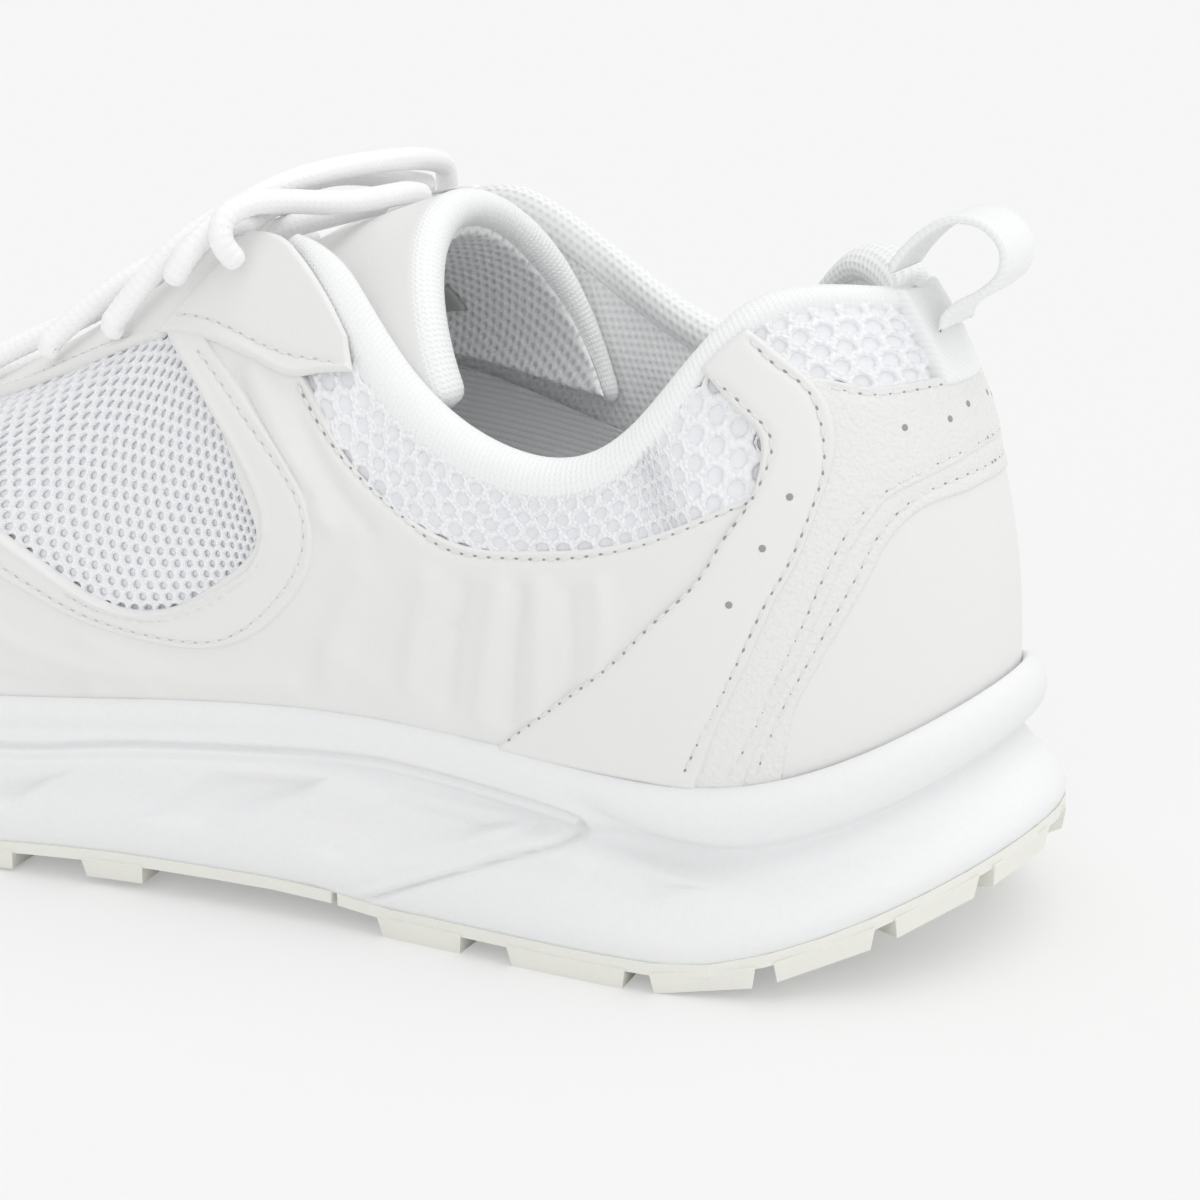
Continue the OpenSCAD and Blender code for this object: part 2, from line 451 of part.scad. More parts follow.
// Point of the tongue's middle surface: p along it from 0 to 1, q across it from -1 to 1
function tongue_at(p, q) = let(r = along(TS, p), a = r[6] * q)
    [r[0] + r[5] * (1 - cos(a)), r[1] - r[3] * sin(a), r[2] - r[4] * (1 - cos(a))];
function tongue_pt(p, q, t) = let(e = 0.01, a = max(0, p - e), b = min(1, p + e),
    n = unit(cross(tongue_at(b, q) - tongue_at(a, q), tongue_at(p, q + e) - tongue_at(p, q - e))))
    tongue_at(p, q) + n * t;
module tongue_layer(t0, t1, p0, p1, w) {
    ns = 11;
    nt = 9;
    pq = [for (i = [0:ns], j = [0:nt]) [mix(p0, p1, i / ns), w * (2 * j / nt - 1)]];
    slab([for (a = pq) tongue_pt(a[0], a[1], t1)], [for (a = pq) tongue_pt(a[0], a[1], t0)], ns, nt);
}
module tongue_foam() { color(foam_c) tongue_layer(-tongue_t / 2, tongue_t / 2, 0.04, 0.955, 0.97); }
module tongue_face() {
    color(leather_c) tongue_layer(tongue_t / 2 + 0.3, tongue_t / 2 + 0.3 + tongue_skin, 0, 0.955, 1);
}
module tongue_lining() {
    color(mesh_c) tongue_layer(-tongue_t / 2 - 0.3 - tongue_skin, -tongue_t / 2 - 0.3, 0.02, 0.955, 1);
}
module tongue_binding() {
    color(knit_c) tube([for (i = [0:22]) tongue_pt(1, 1.02 - 2.04 * i / 22, 0)], tongue_bind_d, 8);
}
module tongue_label() {
    ns = 3;
    nt = 6;
    t = -tongue_t / 2 - 0.6 - tongue_skin;
    pq = [for (i = [0:ns], j = [0:nt]) [mix(0.8, 0.9, i / ns), mix(-0.7, -0.2, j / nt)]];
    color([0.8, 0.82, 0.8]) slab([for (a = pq) tongue_pt(a[0], a[1], t)],
        [for (a = pq) tongue_pt(a[0], a[1], t - 0.4)], ns, nt);
}
// Elastic gusset on the lining below the tongue's edge, inside each quarter
module gusset(side) {
    t1 = function (u, v) -pad(u, v) - 3.2 * gap - lining_t;
    t0 = function (u, v) -pad(u, v) - 3.2 * gap - lining_t - 0.8;
    region = belt(5.3, 6.9, 0.42, 0.62);
    color(knit_c) panel(side ? other(region) : region, t0, t1, 8, 3);
}
module gusset_lateral() { gusset(false); }
module gusset_medial() { gusset(true); }

// ---- pull loop ----------------------------------------------------------------------------

// Centre line of the free webbing in the plane of symmetry, x and z, from the outer end
LOOP = [[-129.8, 97.5], [-130, 99.5], [-132, 101.5], [-135.5, 103.5], [-138.5, 106.5], [-138.6, 110.5],
    [-135.5, 113.6], [-131, 114.2], [-126.8, 112.3], [-123.4, 109.2], [-121.2, 106.2]];
LP = [for (p = LOOP) [p[0] * kx, -0.5, p[1] * kz]];
module ribbon(p, w, t) {
    n = len(p) - 1;
    d = [for (i = [0:n]) let(g = unit(p[min(i + 1, n)] - p[max(i - 1, 0)])) [g.z, 0, -g.x] * t / 2];
    slab([for (i = [0:n], s = [1, -1]) p[i] + d[i] + [0, s * w / 2, 0]],
        [for (i = [0:n], s = [1, -1]) p[i] - d[i] + [0, s * w / 2, 0]], n, 1);
}
module pull_loop() { color(knit_c) ribbon(route(LP, 26), loop_w, loop_t); }
module loop_tab_outer() {
    color(knit_c) panel(belt(9.72, 10.22, 0.78, 0.875), trim_0, trim_0 + loop_t, 4, 3);
}
module loop_tab_inner() {
    color(knit_c) panel(belt(9.72, 10.22, 0.86, 0.93), function (u, v) -pad(u, v) - 3.2 * gap - lining_t - loop_t,
        function (u, v) -pad(u, v) - 3.2 * gap - lining_t, 4, 2);
}

// ---- lace ---------------------------------------------------------------------------------

// Eyelets of one side from the toe up: u and v on the upper
EYELETS = [[1.3, 0.87], [2.25, 0.86], [3.1, 0.845], [3.8, 0.83], [4.35, 0.82], [4.7, 0.845], [4.98, 0.915]];
lace_c = [0.95, 0.95, 0.95];
lace_t = trim_1 + gap + lace_d / 2;
function eyelet(i, side, v, t) = let(u = EYELETS[i][0]) skin(side ? N - u : u, v, t);
function over(i, side) = eyelet(i, side, EYELETS[i][1], lace_t);
// Middle of the throat between two pairs of eyelets
function throat(i, j) = (eyelet(i, false, 1, 0) + eyelet(i, true, 1, 0)
    + eyelet(j, false, 1, 0) + eyelet(j, true, 1, 0)) / 4;
// One diagonal from eyelet i on one side, over the throat's edge, to the inner edge at eyelet j
// on the other side; the upper strand of a pair rises over its partner
function strand(i, j, side, up) = route([over(i, side), eyelet(i, side, 0.985, lace_t),
    throat(i, j) + [0, 0, lace_d / 2 + 1.8 + (up ? lace_d + gap : 0)],
    eyelet(j, !side, 1.02, 1.2)], 6);
module lace_rows() {
    color(lace_c) {
        tube(route([over(0, false), eyelet(0, false, 0.985, lace_t),
            throat(0, 0) + [0, 0, lace_d / 2 + 2.4], eyelet(0, true, 0.985, lace_t), over(0, true)], 8), lace_d);
        for (i = [0:len(EYELETS) - 3]) {
            tube(strand(i, i + 1, false, i % 2 == 0), lace_d);
            if (i < 4) tube(strand(i, i + 1, true, i % 2 == 1), lace_d);
        }
    }
}
// Loose turn from the top lateral eyelet over the throat to under the top medial edge
TURN = [[-21.2, 31.8, 105.2], [-20, 34.5, 110.5], [-20, 32.5, 114], [-22.5, 28.5, 115.5],
    [-26, 24, 113.5], [-28, 17, 112.5], [-28, 8, 112.5], [-27, 0, 112.5], [-26, -9, 112], [-25.5, -17, 110.5]];
// Free ends. The first runs from the second lateral eyelet along the throat, over the medial
// side and down to the ground, the second from the top medial eyelet down to the ground.
END_L = [[-9, 34.5, 102], [-12, 33, 107], [-15, 28.5, 111], [-17.5, 22, 111.5], [-20, 16.5, 111.5],
    [-21, 10.5, 114], [-22, 1.5, 116], [-24, -9, 116.5], [-24, -19, 116.5], [-22, -29, 115.5],
    [-18, -36.5, 111.5], [-15.5, -40.5, 105], [-13, -43, 94], [-11, -44.5, 80],
    [-10, -45, 64], [-9, -45, 48], [-8, -45, 32], [-6, -46, 17], [2, -48, 6],
    [14, -51, 2.2], [29, -55, 2.2], [46, -60, 2.2]];
END_M = [[-22, -37, 108.5], [-25, -40.5, 105.5], [-28, -43, 97], [-30, -44.5, 83], [-31, -45, 66],
    [-32, -45, 48], [-33, -45, 31], [-36, -46, 16], [-44, -48, 6], [-56, -50, 2.2],
    [-72, -53, 2.2], [-90, -57, 2.2]];
module lace_turn() { color(lace_c) tube(route(TURN, 20), lace_d); }
module lace_end_lateral() { color(lace_c) tube(route(END_L, 30), lace_d); }
module lace_end_medial() { color(lace_c) tube(route(END_M, 22), lace_d); }
// Plastic tip that carries on from the last two points of a cord
module aglet(p) {
    a = p[len(p) - 1];
    d = unit(a - p[len(p) - 2]);
    color([0.9, 0.92, 0.93]) translate(a) rotate([0, 0, atan2(d.y, d.x)]) rotate([0, 90, 0])
        cylinder(d = lace_d - 0.4, h = aglet_l, $fn = 32);
}
module aglet_lateral() { aglet(END_L); }
module aglet_medial() { aglet(END_M); }

outsole_heel();
outsole_front();
midsole_main();
midsole_front();
strobel_board();
insole_foam();
insole_cloth();
heel_counter();
toe_puff();
lining_toe();
lining_lateral();
lining_medial();
lining_heel();
collar_foam();
vamp_mesh();
collar_mesh_lateral();
collar_mesh_medial();
heel_mesh();
toe_cap();
eyestay_lateral();
eyestay_medial();
eyestay_top_lateral();
eyestay_top_medial();
quarter_lateral();
quarter_medial();
crescent_lateral();
crescent_medial();
heel_stripe_lateral();
heel_stripe_medial();
heel_saddle();
heel_band();
heel_panel();
collar_binding();
tongue_face();
tongue_foam();
tongue_lining();
tongue_binding();
tongue_label();
gusset_lateral();
gusset_medial();
loop_tab_outer();
loop_tab_inner();
pull_loop();
lace_rows();
lace_turn();
lace_end_lateral();
lace_end_medial();
aglet_lateral();
aglet_medial();
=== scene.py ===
"""Running shoe: the visible surfaces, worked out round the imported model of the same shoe.

+X points to the toe, +Y to the outer side and +Z up. Shapes are written in millimetres and
made metres when a mesh is filled.
"""

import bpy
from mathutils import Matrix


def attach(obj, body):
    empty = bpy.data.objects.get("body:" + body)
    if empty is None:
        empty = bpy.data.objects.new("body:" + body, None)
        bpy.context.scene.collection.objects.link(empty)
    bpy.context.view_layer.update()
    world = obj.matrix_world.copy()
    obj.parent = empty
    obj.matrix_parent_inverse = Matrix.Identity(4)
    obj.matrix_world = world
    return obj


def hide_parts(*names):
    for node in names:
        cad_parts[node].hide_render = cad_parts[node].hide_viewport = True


bl_info = {
    "name": "Running shoe",
    "version": (1, 0, 0),
    "blender": (4, 5, 0),
    "location": "3D View > Sidebar > Shoe",
    "description": "Builds the upper, sole, tongue and laces of a running shoe",
    "category": "Add Mesh",
}

import bmesh
import bpy
import numpy as np
from mathutils import Matrix, Vector

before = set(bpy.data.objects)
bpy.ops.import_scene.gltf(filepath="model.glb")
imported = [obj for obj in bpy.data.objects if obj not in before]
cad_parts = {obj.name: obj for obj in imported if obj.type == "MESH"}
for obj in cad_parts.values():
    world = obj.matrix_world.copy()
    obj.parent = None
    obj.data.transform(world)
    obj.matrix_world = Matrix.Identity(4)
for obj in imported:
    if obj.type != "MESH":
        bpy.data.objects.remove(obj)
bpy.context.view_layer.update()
MM = 0.001

# ---- the upper's surface ---------------------------------------------------------------------

# One row per station round the shoe, from the toe over the outer side, the heel and the inner
# side: plan x y | feather inset z | lower handle inset z | upper handle x y z | topline x y z |
# rim height | inset of the sole's lower edge
STATIONS = np.array([
    [151, -13, 9.5, 24, 5.0, 56, 108, -4, 66, 64, -1, 61, 39, 2],
    [139, 16, 9.0, 23, 5.0, 55, 102, 20, 64, 58, 10, 65, 36, 1],
    [119, 34, 8.5, 21, 4.5, 52, 88, 32, 64, 42, 15, 74, 32, 0],
    [88, 48, 8.0, 19, 4.0, 50, 60, 38, 69, 20, 18, 87, 29, -1],
    [50, 52.5, 8.0, 18, 3.5, 50, 26, 38, 78, -3, 20, 100, 29, -1],
    [10, 47.5, 7.5, 20, 4.0, 52, -8, 35, 90, -28, 24, 117, 32, -1],
    [-30, 42.5, 7.5, 22, 4.0, 52, -38, 36, 74, -46, 29, 86, 36, -2],
    [-70, 42, 7.5, 23, 4.0, 48, -70, 37, 60, -71, 32, 74, 35, -3],
    [-108, 42.5, 8.0, 24, 5.0, 50, -98, 36.5, 66, -91, 29.5, 78, 29, -4],
    [-137, 26, 8.5, 25, 5.5, 52, -125, 25.5, 82, -105.5, 23.5, 110, 40, -2],
    [-149, -2, 9.0, 25, 4.5, 54, -142, -1, 84, -130.5, -1, 98, 47, -3],
    [-137, -30, 8.5, 25, 5.0, 52, -125, -26.5, 82, -105.5, -25.5, 111, 40, -1],
    [-108, -41.5, 8.0, 24, 5.0, 50, -98, -36.5, 68, -91, -31.5, 84, 29, -1],
    [-70, -38, 7.5, 24, 4.0, 48, -70, -38, 64, -71, -34, 86, 35, -1],
    [-30, -34, 7.5, 24, 3.0, 52, -38, -37, 80, -46, -32, 105, 38, -1],
    [10, -38, 7.5, 22, 3.5, 52, -8, -36, 90, -28, -29, 113, 36, -1],
    [50, -48, 8.0, 19, 3.5, 50, 26, -39, 78, -3, -22, 102, 31, -1],
    [88, -53, 8.0, 19, 4.0, 50, 60, -41, 69, 20, -20, 87, 29, -1],
    [120, -50, 8.5, 21, 4.5, 52, 88, -37, 64, 42, -18, 74, 32, 0],
    [140, -38, 9.0, 23, 5.0, 55, 102, -25, 64, 58, -12, 65, 36, 1]], float)
N = len(STATIONS)
GAP = 0.35
# Levels over the surface: the mesh, the leather panels and the trims sewn onto them
MESH_LOW, MESH_TOP = 0.35, 1.15
HIDE_LOW, HIDE_TOP = 1.5, 2.3
TRIM_LOW, TRIM_TOP = 2.65, 3.45
# Depths under the collar's foam: the lining, its thickness, and what is sewn inside it
LINING_IN, LINING_T = 1.6 * GAP, 1.7
SEWN_IN = 3.2 * GAP + LINING_T
# The sole: rim, groove round the heel, board, lugs and rubber sheet
RIM_H, GROOVE_D, BOARD_T, LUG_H, SHEET_T = 9.0, 4.0, 1.5, 3.0, 2.0


def smooth(a, b, x):
    """Smooth step from 0 at a to 1 at b."""
    t = np.clip((x - a) / (b - a), 0, 1)
    return t * t * (3 - 2 * t)


def row(u):
    """Closed uniform cubic B-spline through the stations: one row of values for each u."""
    u = np.asarray(u, float)
    i = np.floor(u).astype(int)
    f = (u - i)[..., None]
    return ((1 - f) ** 3 * STATIONS[(i - 1) % N] + (3 * f ** 3 - 6 * f ** 2 + 4) * STATIONS[i % N]
            + (-3 * f ** 3 + 3 * f ** 2 + 3 * f + 1) * STATIONS[(i + 1) % N]
            + f ** 3 * STATIONS[(i + 2) % N]) / 6


def along(table, s):
    """Open Catmull-Rom curve through the rows of a table, s from 0 to 1."""
    table = np.asarray(table, float)
    n = len(table) - 1
    x = np.minimum(np.asarray(s, float) * n, n - 1e-6)
    i = np.floor(x).astype(int)
    f = (x - i)[..., None]
    a, b, c, d = (table[np.clip(i + k, 0, n)] for k in (-1, 0, 1, 2))
    return 0.5 * (2 * b + (c - a) * f + (2 * a - 5 * b + 4 * c - d) * f ** 2
                  + (3 * b - a - 3 * c + d) * f ** 3)


def unit(v):
    """Vectors divided by their lengths."""
    return v / np.maximum(np.linalg.norm(v, axis=-1, keepdims=True), 1e-9)


def ring(u, inset, z):
    """Point at the height z, inset from the plan outline along its normal."""
    d = unit(row(u + 0.01)[..., :2] - row(u - 0.01)[..., :2])
    p = row(u)[..., :2] - np.stack([d[..., 1], -d[..., 0]], -1) * np.asarray(inset)[..., None]
    return np.concatenate([p, np.broadcast_to(np.asarray(z, float), p.shape[:-1])[..., None]], -1)


def section(u):
    """The four Bezier control points of the upper's section at u."""
    r = row(u)
    return ring(u, r[..., 2], r[..., 3]), ring(u, r[..., 4], r[..., 5]), r[..., 6:9], r[..., 9:12]


def surface(u, v):
    """Cubic Bezier in v through the section's control points."""
    a, b, c, d = section(u)
    v = np.asarray(v, float)[..., None]
    w = 1 - v
    return w ** 3 * a + 3 * w * w * v * b + 3 * w * v * v * c + v ** 3 * d


def outward(u, v):
    """Unit normal of the surface, by central differences in u and v."""
    return unit(np.cross(surface(u + 0.02, v) - surface(u - 0.02, v),
                         surface(u, v + 0.005) - surface(u, v - 0.005)))


def skin(u, v, t=0.0):
    """Point of the surface, t outward along its normal."""
    u, v = np.broadcast_arrays(np.asarray(u, float), np.asarray(v, float))
    return surface(u, v) + outward(u, v) * np.asarray(t, float)[..., None]


def v_rim(u):
    """The v at which the section reaches the sole's rim, found by halving."""
    u = np.asarray(u, float)
    z = row(u)[..., 12] - 1
    low, high = np.zeros_like(u), np.full_like(u, 0.5)
    for _ in range(12):
        mid = (low + high) / 2
        under = surface(u, mid)[..., 2] < z
        low, high = np.where(under, mid, low), np.where(under, high, mid)
    return low


def pad(u, v):
    """Thickness of the collar's foam: none below the ankle, fullest behind it."""
    m = np.abs(np.mod(u, N) - 10)
    return 7 * smooth(4.6, 2.2, m) * smooth(0.5, 0.72, v) * (1 - 0.55 * smooth(0.8, 1, v))


def below_pad(depth):
    """A level that lies that deep under the collar's foam, as a function of u and v."""
    return lambda u, v: -pad(u, v) - depth


# ---- meshes ----------------------------------------------------------------------------------


def put(name, points, faces, body="shoe", uv=None, finish=None, slot=None, shade=True, turn=0.0,
        stands=()):
    """Object with that mesh, riding on a body in place of the CAD nodes that it stands for.

    uv has one pair per point, and its second number repeats after turn.
    """
    mesh = bpy.data.meshes.new(name)
    points = np.asarray(points, np.float32).reshape(-1, 3) * MM
    faces = np.asarray(faces, np.int32)
    sides = faces.shape[1]
    mesh.vertices.add(len(points))
    mesh.vertices.foreach_set("co", points.ravel())
    mesh.loops.add(faces.size)
    mesh.loops.foreach_set("vertex_index", faces.ravel())
    mesh.polygons.add(len(faces))
    mesh.polygons.foreach_set("loop_start", np.arange(len(faces), dtype=np.int32) * sides)
    mesh.update(calc_edges=True)
    mesh.polygons.foreach_set("use_smooth", np.full(len(faces), shade))
    if uv is not None:
        layer = mesh.uv_layers.new(name="UVMap")
        pairs = np.asarray(uv, np.float32).reshape(-1, 2)[faces]
        if turn:
            pairs[..., 1] += turn * (pairs[..., 1] < pairs[..., 1].max(1, keepdims=True) - turn / 2)
        layer.data.foreach_set("uv", pairs.ravel())
    obj = bpy.data.objects.new(name, mesh)
    bpy.context.scene.collection.objects.link(obj)
    if finish is not None:
        mesh.materials.append(finish)
    if body:
        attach(obj, body)
    for node in stands:
        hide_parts(node)
    return obj


def mend(obj):
    """Turn all faces outwards."""
    b = bmesh.new()
    b.from_mesh(obj.data)
    bmesh.ops.recalc_face_normals(b, faces=b.faces)
    b.to_mesh(obj.data)
    b.free()


def quads(m, n, wrap=False):
    """Faces of an m by n grid of points, closed round its second way if asked."""
    i, j = np.meshgrid(np.arange(m - 1), np.arange(n if wrap else n - 1), indexing="ij")
    k = (j + 1) % n
    return np.stack([i * n + j, (i + 1) * n + j, (i + 1) * n + k, i * n + k], -1).reshape(-1, 4)


def caps(rows, sides):
    """Faces that close both ends of a tube of points onto the two points after them."""
    k = np.arange(0, sides, 2)
    a, b, c = k, (k + 1) % sides, (k + 2) % sides
    far, pole = (rows - 1) * sides, np.full(len(k), rows * sides)
    return np.concatenate([np.stack([pole, a, b, c], -1),
                           np.stack([pole + 1, c + far, b + far, a + far], -1)])


def closed(top, low):
    """Points and faces of a shell whose two grids share their border."""
    m, n = top.shape[:2]
    index = np.arange(m * n).reshape(m, n)
    under = index.copy()
    under[1:-1, 1:-1] = m * n + np.arange((m - 2) * (n - 2)).reshape(m - 2, n - 2)
    points = np.concatenate([top.reshape(-1, 3), low[1:-1, 1:-1].reshape(-1, 3)])
    back = under.ravel()[quads(m, n)][:, ::-1]
    return points, np.concatenate([quads(m, n), back]), under


def sheet(name, top, low, flat, **how):
    """Piece that is a closed shell; both its sides share the flat coordinates, given in mm."""
    points, faces, index = closed(top, low)
    flat = flat.reshape(-1, 2) / 10
    uv = np.zeros((len(points), 2))
    uv[index.ravel()] = flat
    uv[:len(flat)] = flat
    return put(name, points, faces, uv=uv, **how)


def lengths(points, axis):
    """Running length of a grid's lines along one axis, in mm."""
    d = np.linalg.norm(np.diff(points, axis=axis), axis=-1)
    return np.insert(np.cumsum(d, axis=axis), 0, 0, axis=axis)


def spaced(length, step, edge):
    """Parameters from 0 to 1 at even steps, with finer ones inside both ends."""
    fine = edge * np.array([0, 0.06, 0.2, 0.42, 0.7, 1.0]) / length
    n = max(3, int(length * (1 - 2 * fine[-1]) / step))
    return np.concatenate([fine[:-1], np.linspace(fine[-1], 1 - fine[-1], n), 1 - fine[-2::-1]])


def ribbed_uv(region, s, t):
    """u and v on a region's ribs: a curve through the ribs in s, straight or bent once in t."""
    ribs = [r if len(r) == 6 else [r[0], r[1], (r[0] + r[2]) / 2, (r[1] + r[3]) / 2, r[2], r[3]]
            for r in region]
    r, t = along(ribs, s), t[..., None] * 2
    uv = np.where(t < 1, r[..., 0:2] * (1 - t) + r[..., 2:4] * t,
                  r[..., 2:4] * (2 - t) + r[..., 4:6] * (t - 1))
    return uv[..., 0], uv[..., 1]


def region_uv(region, s, t):
    """u and v of a grid on a region, one row for each s and one column for each t."""
    return ribbed_uv(region, s[:, None], t[None])


def flat_size(region, m, n):
    """Mean length of a region along its two ways, in mm, from an m by n grid."""
    p = skin(*region_uv(region, np.linspace(0, 1, m), np.linspace(0, 1, n)))
    return lengths(p, 0)[-1].mean(), lengths(p, 1)[:, -1].mean()


def other(region):
    """The same region on the inner side of the shoe."""
    return [[N - x if k % 2 == 0 else x for k, x in enumerate(r)] for r in reversed(region)]


def mirrored(line):
    """The same u, v line on the inner side."""
    return [(N - u, v) for u, v in line]


def opposite(marks):
    """The same marks on the inner side."""
    return [(mirrored(line), height, width) for line, height, width in marks]


def trace(line, step=0.5, level=0.0):
    """Points at even steps along a u, v line lying on the surface, with normals."""
    s = np.linspace(0, 1, 60 * len(line))
    uv = along(line, s)
    p = skin(uv[:, 0], uv[:, 1], np.full(len(s), level))
    run = lengths(p, 0)
    at = np.arange(step / 2, run[-1], step)
    uv = np.stack([np.interp(at, run, uv[:, k]) for k in (0, 1)], -1)
    return skin(uv[:, 0], uv[:, 1], np.full(len(uv), level)), outward(uv[:, 0], uv[:, 1])


def nearest(points, line):
    """Distance from every point to the nearest of a line's points, in slices."""
    flat = points.reshape(-1, 3)
    out = np.empty(len(flat))
    for k in range(0, len(flat), 4000):
        part = flat[k:k + 4000]
        out[k:k + 4000] = np.sqrt(np.maximum(
            (part ** 2).sum(1)[:, None] + (line ** 2).sum(1)[None] - 2 * part @ line.T, 0)).min(1)
    return out.reshape(points.shape[:-1])


def relief(points, marks):
    """Sum of rounded grooves and ridges: height times exp(-(distance / width) squared)."""
    h = np.zeros(points.shape[:-1])
    for line, height, width in marks:
        d = nearest(points, trace(line, 0.6)[0])
        h += height * np.exp(-(d / width) ** 2)
    return h


def shell(name, region, low, top, finish, slot, step=0.9, marks=(), edge=0.9, stands=()):
    """Panel of the upper: a closed sheet between two levels with rounded borders and relief."""
    ls, lt = flat_size(region, 60, 24)
    s, t = spaced(ls, step, edge), spaced(lt, step, edge)
    u, v = region_uv(region, s, t)
    p, n = surface(u, v), outward(u, v)
    a, b = lengths(p, 0), lengths(p, 1)
    e = np.minimum(np.minimum(a, a[-1:] - a), np.minimum(b, b[:, -1:] - b))
    k = np.clip(e / edge, 0, 1)
    low = low(u, v) if callable(low) else low
    top = top(u, v) if callable(top) else top
    h = low + (top - low) * (0.12 + 0.88 * np.sqrt(1 - (1 - k) ** 2))
    h = h + relief(p, marks) * smooth(0, 1.2, e)
    under = p + n * np.where(k > 0, low, h)[..., None]
    sheet(name, p + n * h[..., None], under, np.stack([a.mean(1)[:, None] + 0 * b, b], -1),
          finish=finish, slot=slot, stands=stands)


def netting(name, region, pitch, hole, low, top, finish, slot, stands, sides=12, tall=1.0):
    """Open mesh: a hexagon with a round hole is repeated in rows that follow the region."""
    ls, lt = flat_size(region, 80, 40)
    cols, rows = int(ls / pitch), int(lt / (pitch * 0.866 * tall))
    a = np.arange(sides) * 2 * np.pi / sides
    corner = pitch / 2 / np.cos(np.mod(a, np.pi / 3) - np.pi / 6)
    level = low + (top - low) * np.array([0.85, 1.0, 0.55, 0.0])
    radius = [corner, corner * 0.35 + hole * 0.65 + 0.04, np.full(sides, hole), np.full(sides, hole * 1.04)]
    tx = np.stack([r * np.sin(a) for r in radius])
    ty = np.stack([r * np.cos(a) * tall for r in radius])
    i, j = np.meshgrid(np.arange(cols), np.arange(rows), indexing="ij")
    cx = ((i + 0.5 * (j % 2) + 0.25) * pitch).reshape(-1, 1, 1)
    cy = ((j + 0.5) * pitch * 0.866 * tall).reshape(-1, 1, 1)
    x, y = (cx + tx) / ls, (cy + ty) / lt
    keep = ((x > 0) & (x < 1) & (y > 0) & (y < 1)).all(axis=(1, 2))
    x, y = x[keep], y[keep]
    points = skin(*ribbed_uv(region, x, y), np.broadcast_to(level[None, :, None], x.shape))
    cell = quads(4, sides, wrap=True)[:, ::-1]
    faces = (cell[None] + np.arange(len(points))[:, None, None] * 4 * sides).reshape(-1, 4)
    put(name, points, faces, finish=finish, slot=slot, stands=stands, uv=np.stack([x * ls, y * lt], -1) / 10)


def frames(p):
    """Tangents of a path and one pair of normals carried along it without twist."""
    t = unit(np.gradient(p, axis=0))
    s = np.empty_like(p)
    s[0] = unit(np.cross(t[0], [0, 0, 1] if abs(t[0][2]) < 0.9 else [0, 1, 0]))
    for k in range(1, len(p)):
        c = s[k - 1] - t[k] * (s[k - 1] @ t[k])
        s[k] = c / np.linalg.norm(c)
    return t, s, np.cross(t, s)


def tube(p, radius, sides=16, wobble=0.0, pitch=1.4):
    """Tube with round ends along a path; its radius may wave in diagonal ridges, as knit does."""
    t, s, b = frames(p)
    run = lengths(p, 0)
    a = np.arange(sides) * 2 * np.pi / sides
    r = np.reshape(radius, (-1, 1)) * np.ones((len(p), sides))
    radius = np.max(radius)
    if wobble:
        r = r + wobble * np.cos(2 * np.pi * run[:, None] / pitch + 2 * a[None]) * np.cos(4 * a[None])
    e = np.clip(np.minimum(run, run[-1] - run) / radius, 0, 1)
    r = r * (0.05 + 0.95 * np.sqrt(1 - (1 - e) ** 2))[:, None]
    points = p[:, None] + r[..., None] * (np.cos(a)[None, :, None] * s[:, None]
                                          + np.sin(a)[None, :, None] * b[:, None])
    uv = np.stack([run[:, None] + 0 * a[None], 0 * run[:, None] + a[None] * radius], -1) / 10
    points = np.concatenate([points.reshape(-1, 3), p[:1], p[-1:]])
    uv = np.concatenate([uv.reshape(-1, 2), uv[0, :1], uv[-1, :1]])
    faces = np.concatenate([quads(len(p), sides, wrap=True), caps(len(p), sides)])
    return points, faces[:, ::-1], uv


def join(parts):
    """One mesh from several lists of points, faces and uv."""
    at, points, faces, uvs = 0, [], [], []
    for p, f, uv in parts:
        points.append(p)
        faces.append(f + at)
        uvs.append(uv)
        at += len(p)
    return np.concatenate(points), np.concatenate(faces), np.concatenate(uvs)


def beads(centres, tangents, normals, half, sides=8, bands=5):
    """Small ellipsoids lying along tangents on a surface; half gives their three half sizes."""
    a = np.arange(sides) * 2 * np.pi / sides
    c = np.linspace(-1, 1, bands + 2)[1:-1] * np.pi / 2 * 0.92
    local = np.stack([np.sin(c)[:, None] + 0 * a, np.cos(c)[:, None] * np.cos(a),
                      np.cos(c)[:, None] * np.sin(a)], -1).reshape(-1, 3)
    local = np.concatenate([local, [[-1, 0, 0], [1, 0, 0]]]) * half
    side = np.cross(normals, tangents)
    basis = np.stack([tangents, side, normals], 1)
    points = centres[:, None] + local @ basis
    cell = np.concatenate([quads(bands, sides, wrap=True), caps(bands, sides)])[:, ::-1]
    count = bands * sides + 2
    faces = (cell[None] + np.arange(len(centres))[:, None, None] * count).reshape(-1, 4)
    return points.reshape(-1, 3), faces, np.zeros((len(centres) * count, 2))


# ---- finishes --------------------------------------------------------------------------------


